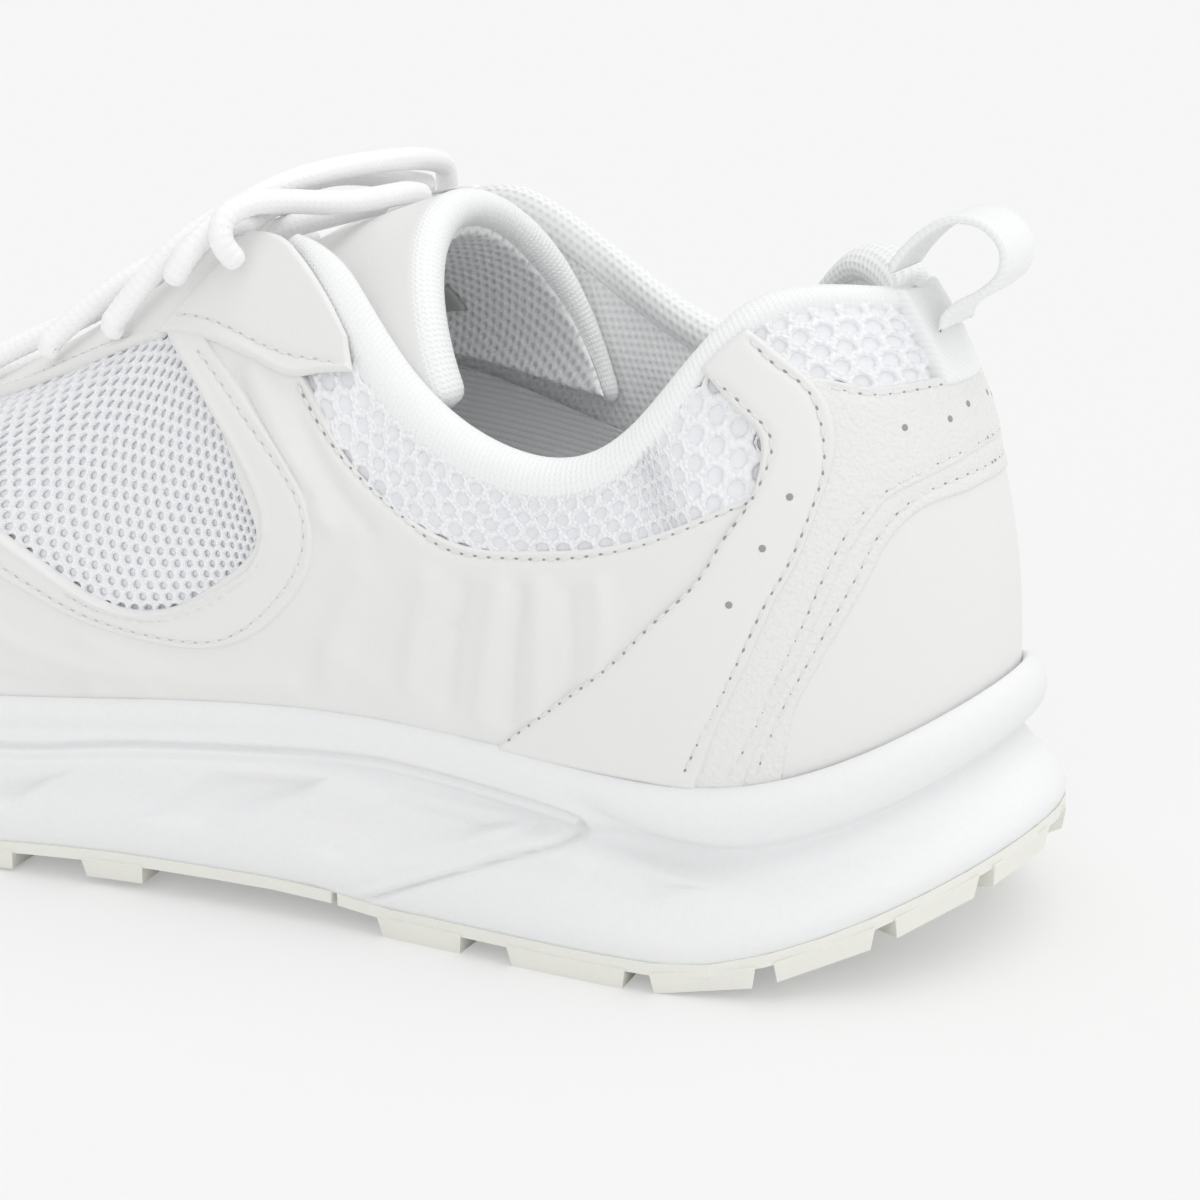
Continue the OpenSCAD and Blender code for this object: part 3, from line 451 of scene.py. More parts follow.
class Sock:
    """A shader socket that takes part in Python sums; each sum adds a Math node."""

    def __init__(self, tree, link):
        self.tree, self.link = tree, link

    def math(self, op, *values, flip=False):
        node = self.tree.nodes.new("ShaderNodeMath")
        node.operation = op
        terms = (values[0], self, *values[1:]) if flip else (self, *values)
        for k, x in enumerate(terms):
            if isinstance(x, Sock):
                self.tree.links.new(x.link, node.inputs[k])
            else:
                node.inputs[k].default_value = x
        return Sock(self.tree, node.outputs[0])

    def __add__(self, x):
        return self.math("ADD", x)

    __radd__ = __add__

    def __sub__(self, x):
        return self.math("SUBTRACT", x)

    def __rsub__(self, x):
        return self.math("SUBTRACT", x, flip=True)

    def __mul__(self, x):
        return self.math("MULTIPLY", x)

    __rmul__ = __mul__

    def __truediv__(self, x):
        return self.math("DIVIDE", x)

    def fract(self):
        return self.math("FRACT")

    def absolute(self):
        return self.math("ABSOLUTE")

    def sine(self):
        return self.math("SINE")

    def least(self, x):
        return self.math("MINIMUM", x)

    def most(self, x):
        return self.math("MAXIMUM", x)

    def root(self):
        return self.math("SQRT")


class Finish:
    """One material: a Principled shader, and a method that adds any node."""

    def __init__(self, name, colour, roughness, sheen=0.0, coat=0.0, subsurface=0.0):
        self.mat = bpy.data.materials.new(name)
        self.mat.use_nodes = True
        self.mat.diffuse_color = (*colour, 1)
        self.tree = self.mat.node_tree
        self.bsdf = self.tree.nodes["Principled BSDF"]
        self.colour = colour
        self.set("Base Color", (*colour, 1))
        self.set("Roughness", roughness)
        self.set("Sheen Weight", sheen)
        self.set("Coat Weight", coat)
        self.set("Subsurface Weight", subsurface)
        self.set("Subsurface Scale", 0.002)

    def set(self, socket, value):
        if isinstance(value, Sock):
            self.tree.links.new(value.link, self.bsdf.inputs[socket])
        else:
            self.bsdf.inputs[socket].default_value = value

    def add(self, kind, out=0, settings=(), **sockets):
        node = self.tree.nodes.new(kind)
        for key, value in dict(settings).items():
            setattr(node, key, value)
        for key, value in sockets.items():
            socket = node.inputs[key.replace("_", " ")]
            if isinstance(value, Sock):
                self.tree.links.new(value.link, socket)
            else:
                socket.default_value = value
        return Sock(self.tree, node.outputs[out])

    def place(self):
        """Object coordinates, in metres."""
        return self.add("ShaderNodeTexCoord", "Object")

    def cloth(self):
        """The piece's own u and v, in centimetres."""
        uv = self.add("ShaderNodeUVMap", settings={"uv_map": "UVMap"})
        split = self.tree.nodes.new("ShaderNodeSeparateXYZ")
        self.tree.links.new(uv.link, split.inputs[0])
        return Sock(self.tree, split.outputs[0]), Sock(self.tree, split.outputs[1])

    def noise(self, scale, detail=3.0, rough=0.55):
        return self.add("ShaderNodeTexNoise", "Fac", Vector=self.place(), Scale=scale,
                        Detail=detail, Roughness=rough)

    def cells(self, scale, feature="F1", random=1.0):
        return self.add("ShaderNodeTexVoronoi", "Distance", {"feature": feature},
                        Vector=self.place(), Scale=scale, Randomness=random)

    def bump(self, height, depth, strength=1.0):
        self.set("Normal", self.add("ShaderNodeBump", Height=height, Distance=depth, Strength=strength))

    def shades(self, mask, dark, light=None):
        """Colour between dark and the finish's own, by a mask from 0 to 1."""
        mix = self.tree.nodes.new("ShaderNodeMix")
        mix.data_type = "RGBA"
        mix.inputs["A"].default_value = (*dark, 1)
        mix.inputs["B"].default_value = (*(light or self.colour), 1)
        self.tree.links.new(mask.link, mix.inputs["Factor"])
        self.set("Base Color", Sock(self.tree, mix.outputs["Result"]))

    def dots(self, pitch):
        """Distance to the nearest point of a hexagon lattice, as a share of its pitch."""
        x, y = self.cloth()
        x, y = x * (1 / pitch), y * (1 / pitch / 1.732)
        d = []
        for shift in (0.0, 0.5):
            a = (x + shift).fract() - 0.5
            b = ((y + shift).fract() - 0.5) * 1.732
            d.append((a * a + b * b).root())
        return d[0].least(d[1])


def darker(colour, share):
    """The same colour, darker by a share."""
    return tuple(c * (1 - share) for c in colour)


def smooth_hide(colour):
    f = Finish("smooth_leather", colour, 0.5, coat=0.04)
    grain = f.cells(1500.0)
    fine = f.noise(900.0, 4.0)
    cloud = f.noise(38.0, 3.0)
    f.bump(grain * 0.35 + fine * 0.5 + cloud * 0.9, 0.00007, 0.6)
    f.shades(cloud * 0.7 + fine * 0.3, darker(colour, 0.025))
    f.set("Roughness", fine * 0.12 + 0.42)
    return f.mat


def grained_hide(colour):
    f = Finish("grained_leather", colour, 0.45, coat=0.05)
    pebble = f.cells(1650.0, "SMOOTH_F1")
    wrinkle = f.noise(800.0, 4.0)
    f.bump(wrinkle * 0.8 - pebble, 0.00028, 0.7)
    # Painted shade: the creases between the pebbles are darker
    f.shades(1 - pebble * 0.9, darker(colour, 0.04))
    f.set("Roughness", pebble * 0.15 + 0.4)
    return f.mat


def yarn(name, colour, pitch, depth, sheen=0.25):
    f = Finish(name, colour, 0.6, sheen=sheen)
    x, y = f.cloth()
    ply = (x * (62.8 / pitch) + (y * (31.4 / pitch)).sine() * 1.5).sine()
    cross = (y * (62.8 / pitch) + (x * (31.4 / pitch)).sine() * 1.2).sine()
    hair = f.noise(2600.0, 2.0)
    f.bump(ply * 0.5 + cross * 0.35 + hair * 0.6, depth, 0.7)
    # Painted shade: the weave is darker where its bump is low
    f.shades((ply + cross) * 0.25 + 0.5, darker(colour, 0.07))
    return f.mat


def dimpled(name, colour, pitch, depth, dark=0.16):
    f = Finish(name, colour, 0.8, sheen=0.3)
    d = f.dots(pitch)
    pit = (0.42 - d).most(0.0) * 2.4
    hair = f.noise(3000.0, 2.0)
    f.bump(hair * 0.12 - pit, depth, 0.9)
    # Painted shade: the dimples are darker, as the shade in them
    f.shades(1 - pit, darker(colour, dark))
    return f.mat


def ribbed(name, colour, rib, purl, depth, dark=0.08):
    f = Finish(name, colour, 0.85, sheen=0.35)
    x, y = f.cloth()
    a = ((x * (1 / rib)).fract() - 0.5).absolute()
    chevron = ((y * (1 / purl) + a * 1.2).fract() - 0.5).absolute()
    height = (0.5 - a) * 1.2 + chevron
    hair = f.noise(2800.0, 2.0)
    f.bump(height + hair * 0.25, depth, 0.8)
    # Painted shade: the valleys between the ribs are darker
    f.shades(height.least(1.0), darker(colour, dark))
    return f.mat


def webbing(name, colour, pitch, depth, across=1.0):
    f = Finish(name, colour, 0.7, sheen=0.3)
    x, y = f.cloth()
    ridge = ((x * (across / pitch) + y * (1 / pitch)).fract() - 0.5).absolute() * 2
    thread = ((x * (2.2 / pitch)).fract() - 0.5).absolute() * (1 - across)
    f.bump((1 - ridge * ridge) + thread, depth, 0.8)
    # Painted shade: the sides of each ridge are darker, as the shade between ridges
    f.shades(1 - ridge * ridge * ridge, darker(colour, 0.05 + 0.07 * (1 - across)))
    return f.mat


def moulded(name, colour, scale, depth, rough, speck_and_pore_shade):
    f = Finish(name, colour, rough, subsurface=0.05)
    pore = f.cells(scale)
    cloud = f.noise(60.0, 3.0)
    f.bump(pore * 0.7 + f.noise(scale * 0.4, 2.0), depth, 0.5)
    # Partly painted shade: the pores are darker where the bump dents them; the clouds are random tone
    f.shades(pore * 0.5 + cloud * 0.5, darker(colour, speck_and_pore_shade))
    return f.mat


def plain(name, colour, rough, scale=1200.0, depth=0.00005):
    f = Finish(name, colour, rough)
    grain = f.noise(scale, 3.0)
    f.bump(grain, depth, 0.5)
    f.shades(grain, darker(colour, 0.1))
    return f.mat


FINISHES = {}


def finishes():
    """All finishes of the shoe, made once from the settings."""
    if not FINISHES:
        c = bpy.context.scene.shoe
        hide, net, knit, foam, rubber, lace = (tuple(x) for x in (
            c.leather, c.mesh, c.knit, c.foam, c.rubber, c.lace))
        FINISHES.update(
            hide=smooth_hide(hide), grain=grained_hide(hide),
            net=yarn("mesh_yarn", net, 0.5, 0.00006), wide_net=yarn("wide_mesh_yarn", net, 0.9, 0.00016),
            knit=ribbed("binding_knit", knit, 0.09, 0.09, 0.00016, 0.04),
            lining=dimpled("lining_knit", knit, 0.17, 0.00025, 0.05),
            tongue_knit=dimpled("tongue_knit", knit, 0.2, 0.0004, 0.12),
            inner=dimpled("inner_knit", net, 0.11, 0.0001, 0.05),
            # The cloth under the collar mesh is painted 3% darker than the mesh: painted shade in the holes
            under=plain("under_cloth_painted_shade", darker(net, 0.03), 0.8, 900.0),
            web=webbing("loop_webbing", darker(knit, 0.05), 0.11, 0.00004),
            gusset=webbing("gusset_webbing", knit, 0.12, 0.0002, 0.0),
            foam=moulded("midsole_foam", foam, 900.0, 0.00012, 0.62, 0.03),
            core=moulded("hidden_foam", foam, 700.0, 0.0002, 0.85, 0.08),
            rubber=moulded("outsole_rubber", rubber, 1500.0, 0.00006, 0.45, 0.03),
            lace=ribbed("lace_knit", lace, 0.14, 0.1, 0.0001, 0.03),
            # The two needle-hole finishes are painted shade: grey and dark dots that stand for the shadow
            # inside holes
            thread=plain("thread", hide, 0.6), pit_dark=plain("needle_hole_painted_shade", (0.36, 0.36, 0.37), 0.9),
            pit_light=plain("light_needle_hole_painted_shade", (0.62, 0.62, 0.62), 0.9),
            board=plain("board_cloth", knit, 0.9, 2400.0, 0.0001),
            tip=plain("lace_tip_film", (0.86, 0.88, 0.9), 0.25),
            label=plain("label_cloth", (0.45, 0.48, 0.46), 0.8))
    return FINISHES


# ---- regions and seams ------------------------------------------------------------------------

SIDE_MESH = [[2.6, 0.3, 2.6, 0.93], [3.6, 0.3, 3.6, 0.88], [4.5, 0.27, 4.5, 0.86],
             [5.2, 0.24, 5.0, 0.84], [5.75, 0.3, 5.4, 0.8], [6.0, 0.36, 5.7, 0.74]]
TOE_MESH = [[-2.62, 0.32, -2.62, 0.93], [-1.3, 0.32, -1.3, 0.975], [0, 0.32, 0, 0.985],
            [1.3, 0.32, 1.3, 0.975], [2.62, 0.32, 2.62, 0.93]]
COLLAR_MESH = [[5.25, 0.74, 5.35, 0.98], [6.0, 0.63, 6.0, 0.98], [6.59, 0.6, 6.59, 0.98],
    [7.27, 0.62, 7.27, 0.98], [7.91, 0.62, 7.91, 0.98], [8.25, 0.6, 8.2, 0.98],
    [8.9, 0.62, 8.86, 0.98]]
HEEL_MESH = [[8.62, 0.66, 8.62, 0.985], [11.38, 0.66, 11.38, 0.985]]
TOE_CAP = [[0, 0, 0, 0.4], [1, 0, 1, 0.38], [2, 0, 2, 0.33], [3, 0, 3, 0.27],
           [3.55, 0, 3.55, 0.25]]
EYESTAY = [[0.5, 0.84, 0.5, 0.985], [1.4, 0.8, 1.4, 0.985], [2.4, 0.77, 2.4, 0.985],
           [3.5, 0.765, 3.5, 0.985], [4.3, 0.775, 4.4, 0.985], [4.66, 0.785, 4.84, 0.985]]
EYESTAY_TOP = [[4.64, 0.79, 4.72, 0.985], [5.05, 0.785, 5.0, 0.99], [5.3, 0.79, 5.2, 0.985],
    [5.55, 0.81, 5.4, 0.98], [5.72, 0.875, 5.54, 0.975], [5.84, 0.925, 5.7, 0.965]]
QUARTER = [[3.5, 0.07, 3.55, 0.3, 3.62, 0.53], [4.05, 0.07, 4.08, 0.26, 4.12, 0.45],
           [4.5, 0.07, 4.53, 0.22, 4.56, 0.36], [5.1, 0.07, 5.05, 0.19, 5.0, 0.3],
           [5.6, 0.07, 5.55, 0.2, 5.4, 0.31], [6.0, 0.07, 5.95, 0.28, 5.74, 0.48],
           [6.3, 0.07, 6.15, 0.4, 5.4, 0.64], [6.6, 0.07, 6.35, 0.45, 4.95, 0.79],
           [6.9, 0.07, 6.65, 0.45, 5.5, 0.84], [7.1, 0.07, 6.95, 0.42, 6.1, 0.74],
           [7.2, 0.07, 7.15, 0.42, 6.7, 0.69], [7.3, 0.07, 7.4, 0.42, 7.3, 0.735],
           [7.4, 0.07, 7.65, 0.42, 7.9, 0.73], [7.5, 0.07, 7.95, 0.44, 8.62, 0.7]]
CRESCENT = [[3.6, 0.48, 3.62, 0.56], [4.1, 0.405, 4.12, 0.475], [4.56, 0.325, 4.56, 0.39],
            [5.05, 0.255, 5.03, 0.305], [5.56, 0.24, 5.32, 0.3], [5.86, 0.3, 5.55, 0.35],
            [6.04, 0.44, 5.74, 0.43], [6.0, 0.57, 5.73, 0.53], [5.8, 0.655, 5.53, 0.61],
            [5.42, 0.725, 5.17, 0.69], [5.02, 0.785, 4.8, 0.765], [4.9, 0.83, 4.62, 0.81]]
STRIPE = [[6.98, 0.07, 7.92, 0.07], [7.26, 0.27, 8.07, 0.24], [7.53, 0.38, 8.28, 0.38],
          [7.8, 0.49, 8.46, 0.48], [8.08, 0.57, 8.64, 0.55], [8.28, 0.64, 8.8, 0.62],
          [8.51, 0.7, 9.01, 0.72], [8.67, 0.79, 9.05, 0.81], [8.61, 0.88, 8.94, 0.91],
          [8.55, 0.975, 8.86, 0.975]]
SADDLE = [[8.13, 0.07, 7.7, 0.07], [8.28, 0.21, 7.85, 0.25], [8.47, 0.33, 8.06, 0.4],
          [8.67, 0.43, 8.24, 0.5], [8.82, 0.5, 8.42, 0.58], [8.97, 0.55, 8.6, 0.66],
          [9.17, 0.6, 8.75, 0.79], [9.35, 0.615, 8.98, 0.85], [9.5, 0.625, 9.3, 0.805],
          [9.8, 0.645, 9.7, 0.805], [10, 0.65, 10, 0.81]]
BAND = [[8.33, 0.07, 7.95, 0.07], [8.44, 0.24, 8.1, 0.24], [8.62, 0.34, 8.3, 0.36],
        [8.82, 0.42, 8.5, 0.46], [8.96, 0.47, 8.68, 0.53], [9.13, 0.53, 8.85, 0.59],
        [9.36, 0.57, 9.1, 0.65], [9.7, 0.58, 9.45, 0.68], [9.85, 0.585, 9.75, 0.69],
        [10, 0.585, 10, 0.7]]
HEEL_PANEL = [[8.3, 0.07, 8.2, 0.12], [8.4, 0.1, 8.3, 0.26], [8.62, 0.12, 8.48, 0.37],
    [8.85, 0.14, 8.68, 0.45], [9.08, 0.15, 8.84, 0.51], [9.3, 0.16, 9.05, 0.57],
    [9.55, 0.18, 9.3, 0.61], [9.8, 0.2, 9.7, 0.63], [10, 0.2, 10, 0.635]]
# Seams as u, v lines on the outer side
SEAM_WINDOW = [(4.85, 0.315), (5.05, 0.288), (5.33, 0.282), (5.6, 0.335), (5.78, 0.43),
    (5.78, 0.5)]
WINDOW_RIM = [(3.62, 0.552), (4.12, 0.466), (4.56, 0.381), (5.04, 0.297), (5.34, 0.291),
    (5.58, 0.343), (5.76, 0.43), (5.75, 0.532), (5.55, 0.616), (5.19, 0.697), (4.82, 0.773)]
SEAM_CRESCENT = [(3.62, 0.51), (4.12, 0.43), (4.56, 0.345), (5.05, 0.27), (5.56, 0.255),
    (5.82, 0.32), (5.98, 0.45), (5.95, 0.57), (5.76, 0.64), (5.38, 0.705), (4.98, 0.765)]
SEAM_QUARTER = [(5.6, 0.81), (5.95, 0.755), (6.42, 0.7), (6.73, 0.665), (7.15, 0.7), (7.64, 0.715),
    (8.23, 0.705), (8.5, 0.695)]
SEAM_STAY = [(4.4, 0.803), (3.9, 0.8), (3.5, 0.793), (2.9, 0.8), (2.2, 0.805), (1.4, 0.832),
             (0.7, 0.862)]
SEAM_CAP = [(5.78, 0.918), (5.66, 0.885), (5.5, 0.845), (5.3, 0.823), (5.05, 0.818), (4.7, 0.822)]
SEAM_STRIPE_FRONT = [(8.59, 0.94), (8.66, 0.87), (8.72, 0.78), (8.55, 0.705), (8.33, 0.65),
    (8.13, 0.58), (7.85, 0.5), (7.58, 0.39), (7.31, 0.28), (7.06, 0.17)]
SEAM_STRIPE_REAR = [(8.84, 0.955), (8.88, 0.905), (8.98, 0.83), (8.97, 0.76), (8.9, 0.69),
    (8.75, 0.62), (8.58, 0.55), (8.4, 0.48), (8.22, 0.38), (8.01, 0.24), (7.88, 0.14)]
SEAM_SADDLE_TOP = [(9.09, 0.82), (9.23, 0.795), (9.41, 0.785), (9.7, 0.787), (10, 0.79)]
SEAM_SADDLE_LOW = [(8.08, 0.12), (8.22, 0.215), (8.4, 0.335), (8.6, 0.44), (8.75, 0.51),
    (8.9, 0.563), (9.15, 0.615), (9.45, 0.64), (9.8, 0.66), (10, 0.665)]
SEAM_BAND = [(8.21, 0.12), (8.37, 0.25), (8.55, 0.345), (8.75, 0.43), (8.9, 0.485), (9.07, 0.545),
             (9.3, 0.59), (9.6, 0.608), (9.85, 0.615), (10, 0.617)]


def whole(half):
    """A region or line given from one side to the heel's middle, carried on to the inner side."""
    return half + [[N - x if k % 2 == 0 else x for k, x in enumerate(r)] for r in half[-2::-1]]


def from_toe(half):
    """A region given from the toe's middle outwards, carried on to the inner side."""
    return [[-x if k % 2 == 0 else x for k, x in enumerate(r)] for r in half[:0:-1]] + half


def lifted(region, lift):
    """The region with its lower edge kept above the sole's rim."""
    return [[r[0], max(r[1], float(v_rim(r[0])) + lift), *r[2:]] for r in region]


# ---- sole ------------------------------------------------------------------------------------


def sole_z(x):
    """Underside of the rubber sheet: lug height, heel bevel, toe spring and waist."""
    return (LUG_H + 17 * np.maximum(0, (-102 - x) / 46) ** 1.5 + 17 * np.maximum(0, (x - 72) / 75) ** 2
            + 1.5 * smooth(-50, -36, x) * (1 - smooth(0, 40, x)))


def inside(x, z, corners, soft):
    """How deep a point lies inside a convex outline, from 0 at its edge to 1 at soft mm."""
    corners = np.asarray(corners, float)
    nxt = np.roll(corners, -1, 0)
    d = np.full(x.shape, 1e9)
    turn = np.sign(np.sum(corners[:, 0] * nxt[:, 1] - nxt[:, 0] * corners[:, 1]))
    for (ax, az), (bx, bz) in zip(corners, nxt):
        e = np.hypot(bx - ax, bz - az)
        d = np.minimum(d, turn * ((bx - ax) * (z - az) - (bz - az) * (x - ax)) / e)
    return smooth(0, soft, d)


def flat_line(x, z, line, width):
    """exp(-(distance / width) squared) from a line drawn on the side of the sole."""
    s = along(line, np.linspace(0, 1, 240))
    d2 = np.full(x.shape, 1e9)
    for a, b in zip(s[:-1], s[1:]):
        ab = b - a
        t = np.clip(((x - a[0]) * ab[0] + (z - a[1]) * ab[1]) / max(ab @ ab, 1e-9), 0, 1)
        d2 = np.minimum(d2, (x - a[0] - t * ab[0]) ** 2 + (z - a[1] - t * ab[1]) ** 2)
    return np.exp(-d2 / width ** 2)


PARTING = [[148, 31], [110, 23.5], [70, 21], [25, 22.3], [0, 25.3], [-24, 27.3], [-45, 28.6],
           [-56, 28.2], [-68, 27], [-77, 25.9], [-82, 24.9], [-84.5, 23], [-83, 20.9], [-78, 18.6],
           [-66, 13.8], [-54, 8.7], [-43, 3.5]]
LIP = [[148, 29], [110, 21.5], [70, 19], [25, 20.3], [0, 23.2], [-24, 25.2], [-45, 26.4],
       [-56, 25.9], [-68, 24.2], [-76, 22.8], [-76, 21.2], [-66, 16.6], [-53, 11], [-42, 6]]
CREASE = [[-86, 27.5], [-89, 24.5], [-97, 21], [-110, 18], [-120, 19], [-131, 23.5], [-140, 29],
          [-146, 33]]
STEP = [[60, 24], [23, 26], [-24, 30.8], [-45, 33], [-58, 32.4], [-76, 30.4], [-96, 30],
        [-112, 29]]
POCKETS = [  # corners on the side, depth
    ([[-18, 23.2], [-40, 25], [-35, 20.4], [-16, 12.5], [0, 12]], 2.4),
    ([[-50, 24.6], [-75, 22.4], [-64, 17], [-42, 10.4], [-35, 12.4]], 2.4),
    ([[-87, 20.6], [-107, 16.6], [-97, 12.8], [-82, 12]], 2.0),
    ([[24, 16.5], [8, 20.5], [22, 11.5], [44, 9.5]], 2.2),
    ([[66, 15], [46, 17.5], [56, 10.5], [78, 9.5]], 2.0),
]


def side_relief(x, z):
    """Moulded shape of the midsole's side: joint, lip round the front block, crease and pockets."""
    h = -1.1 * flat_line(x, z, PARTING, 0.55) - 0.3 * flat_line(x, z, LIP, 0.6)
    h += 0.25 * flat_line(x, z, PARTING, 2.0) - 1.5 * flat_line(x, z, CREASE, 3.0)
    h -= 0.35 * flat_line(x, z, STEP, 1.4)
    for corners, depth in POCKETS:
        front = max(c[0] for c in corners)
        h -= depth * inside(x, z, corners, 2.8) * (0.25 + 0.75 * smooth(front, min(c[0] for c in corners), x))
    return h


def midsole_rings(u):
    """Rings of the midsole from its underside up the side, over the rim and down the cup."""
    r = row(u)
    p = ring(u, r[..., 13], 0)
    z0 = sole_z(p[..., 0]) + SHEET_T
    heel = smooth(4.5, 2.2, np.abs(u - 10))
    z4 = r[..., 12] - RIM_H - 2.6 * heel
    vr = v_rim(u)
    cup = skin(u, vr, 1.6)

    def at(inset, z):
        return ring(u, inset, z)

    def above(inset, lift):
        q = ring(u, r[..., 13] + inset, 0)
        q[..., 2] = sole_z(q[..., 0]) + SHEET_T + lift
        return q

    floor = skin(u, 0 * u, TRIM_LOW) - np.array([0, 0, BOARD_T + 2 * GAP])
    rings = [above(13, GAP), above(4, 0), above(1.0, -1.0), above(0.1, 0.3),
             at(r[..., 13], np.minimum(z0 + 3, z0 * 0.8 + z4 * 0.2)),
             at(r[..., 13] * 0.5, np.minimum(z0 + 9, z0 * 0.6 + z4 * 0.4)),
             at(0.4, z0 * 0.4 + z4 * 0.6), at(0.6 + 0.3 * heel, z0 * 0.12 + z4 * 0.88 - 0.6 * heel),
             at(1.5 + (GROOVE_D + 0.6) * heel, z4 + 0.3), at(1.6 + 0.9 * heel, z4 + 1.8),
             at(1.6 - 0.5 * heel, r[..., 12] - RIM_H * 0.55 - 1.2 * heel),
             at(2.2 - 0.5 * heel, r[..., 12] - 2),
             (at(3.2, r[..., 12] + 0.2) * 0.6 + cup * 0.4) + np.array([0, 0, 0.4]), cup,
             skin(u, vr * 0.5, 1.6), floor,
             floor * 0.5 + 0.5 * np.roll(floor[::-1], 1, 0)]
    return np.stack(rings, 0)


def spline(table, s):
    """Uniform cubic B-spline through rings with its ends held, s from 0 to 1."""
    n = len(table)
    padded = np.concatenate([2 * table[:1] - table[1:2], table, 2 * table[-1:] - table[-2:-1]])
    x = np.minimum(s * (n - 1), n - 1 - 1e-6)
    i = np.floor(x).astype(int)
    f = (x - i).reshape(-1, *([1] * (table.ndim - 1)))
    a, b, c, d = (padded[i + k] for k in range(4))
    return ((1 - f) ** 3 * a + (3 * f ** 3 - 6 * f ** 2 + 4) * b
            + (-3 * f ** 3 + 3 * f ** 2 + 3 * f + 1) * c + f ** 3 * d) / 6


# ---- cords -----------------------------------------------------------------------------------

EYELETS = [[1.3, 0.87], [2.25, 0.86], [3.1, 0.845], [3.8, 0.83], [4.35, 0.82], [4.7, 0.845],
           [4.98, 0.915]]
LACE_D = 4.0
LACE_T = TRIM_TOP + GAP + LACE_D / 2
TURN = [[-21.2, 31.8, 105.2], [-19.5, 34, 109.5], [-19.5, 32.5, 113], [-21.5, 28, 114.8],
        [-24, 22, 114.4], [-26, 15, 113.4], [-27, 8, 112.7], [-27.5, 0, 112.4], [-27, -9, 112],
        [-25.5, -17, 110.5]]
END_L = [[-9, 34.5, 102], [-12, 33, 107], [-15, 28.5, 111.5], [-17.5, 22, 114.5],
         [-19.7, 16.5, 116.3], [-21.2, 10.5, 117.2], [-22.5, 1.5, 117.6], [-23.5, -9, 117.4],
         [-23.5, -19, 116.6], [-22, -29, 114.5], [-18.5, -36, 110], [-15.5, -40.5, 103.5],
         [-13, -43, 94], [-11, -44.5, 80], [-10, -45, 64], [-9, -45, 48], [-8, -45, 32],
         [-6, -46, 17], [2, -48, 6], [14, -51, 2.2], [29, -55, 2.2], [46, -60, 2.2]]
END_M = [[-22, -37, 108.5], [-25, -40.5, 105.5], [-28, -43, 97], [-30, -44.5, 83], [-31, -45, 66],
         [-32, -45, 48], [-33, -45, 31], [-36, -46, 16], [-44, -48, 6], [-56, -50, 2.2],
         [-72, -53, 2.2], [-90, -57, 2.2]]


def eyelet(i, inner, v, t):
    """Point of the upper at one eyelet's u."""
    u = EYELETS[i][0]
    return skin(N - u if inner else u, v, t)


def even(points, step):
    """Points at even steps on the Catmull-Rom curve through a route."""
    p = along(points, np.linspace(0, 1, 60 * len(points)))
    run = lengths(p, 0)
    at = np.linspace(0, run[-1], max(8, int(run[-1] / step)))
    return np.stack([np.interp(at, run, p[:, k]) for k in range(3)], -1), run[-1]


def strands():
    """Routes of the laced rows: the lowest straight across, then pairs of diagonals."""
    def over(i, inner):
        return eyelet(i, inner, EYELETS[i][1], LACE_T)

    def throat(i, j):
        return sum(eyelet(k, side, 1.0, 0.0) for k in (i, j) for side in (False, True)) / 4

    def under(i, inner):
        return eyelet(i, inner, EYELETS[i][1] - 0.01, LACE_T - 2.6)

    rows = [[under(0, False), over(0, False), eyelet(0, False, 0.985, LACE_T),
             throat(0, 0) + [0, 0, LACE_D / 2 + 2.4],
             eyelet(0, True, 0.985, LACE_T), over(0, True), under(0, True)]]
    for i in range(len(EYELETS) - 2):
        for inner in (False, True):
            if inner and i > 3:
                continue
            up = (i % 2 == 0) != inner
            rows.append([under(i, inner), over(i, inner), eyelet(i, inner, 0.985, LACE_T),
                         throat(i, i + 1) + [0, 0, LACE_D / 2 + 1.8 + (LACE_D + GAP if up else 0)],
                         eyelet(i + 1, not inner, 1.02, 1.2)])
    return rows


# ---- settings and operators --------------------------------------------------------------------


def colour_setting(name, description, default):
    return bpy.props.FloatVectorProperty(name=name, description=description, default=default,
                                         subtype="COLOR", size=3, min=0.0, max=1.0)


class ShoeSettings(bpy.types.PropertyGroup):
    """Sizes and colours that a user would change."""

    leather: colour_setting("Leather", "Colour of the leather panels", (0.825, 0.825, 0.816))
    mesh: colour_setting("Mesh", "Colour of the open mesh", (0.95, 0.956, 0.978))
    knit: colour_setting("Knit", "Colour of the binding and lining knit", (0.94, 0.948, 0.95))
    foam: colour_setting("Foam", "Colour of the midsole foam", (0.85, 0.858, 0.862))
    rubber: colour_setting("Rubber", "Colour of the outsole rubber", (0.84, 0.84, 0.785))
    lace: colour_setting("Lace", "Colour of the lace", (0.95, 0.95, 0.953))
    stitch_pitch: bpy.props.FloatProperty(name="Stitch pitch", description="Distance between stitches",
                                          default=0.0024, min=0.001, max=0.006, unit="LENGTH")
    window_pitch: bpy.props.FloatProperty(name="Window mesh pitch",
                                          description="Distance between the small holes",
                                          default=0.0023, min=0.0015, max=0.006, unit="LENGTH")
    collar_pitch: bpy.props.FloatProperty(name="Collar mesh pitch",
                                          description="Distance between the large holes",
                                          default=0.0034, min=0.002, max=0.01, unit="LENGTH")
    lamp: bpy.props.FloatProperty(name="Lamp strength", description="Strength of the soft key lamp",
                                  default=1.0, min=0.0, max=10.0)


class ShoeOperator(bpy.types.Operator):
    """Shared settings of the shoe's operators."""

    bl_options = {"REGISTER", "UNDO"}

    def execute(self, context):
        self.build(context.scene.shoe, finishes())
        return {"FINISHED"}


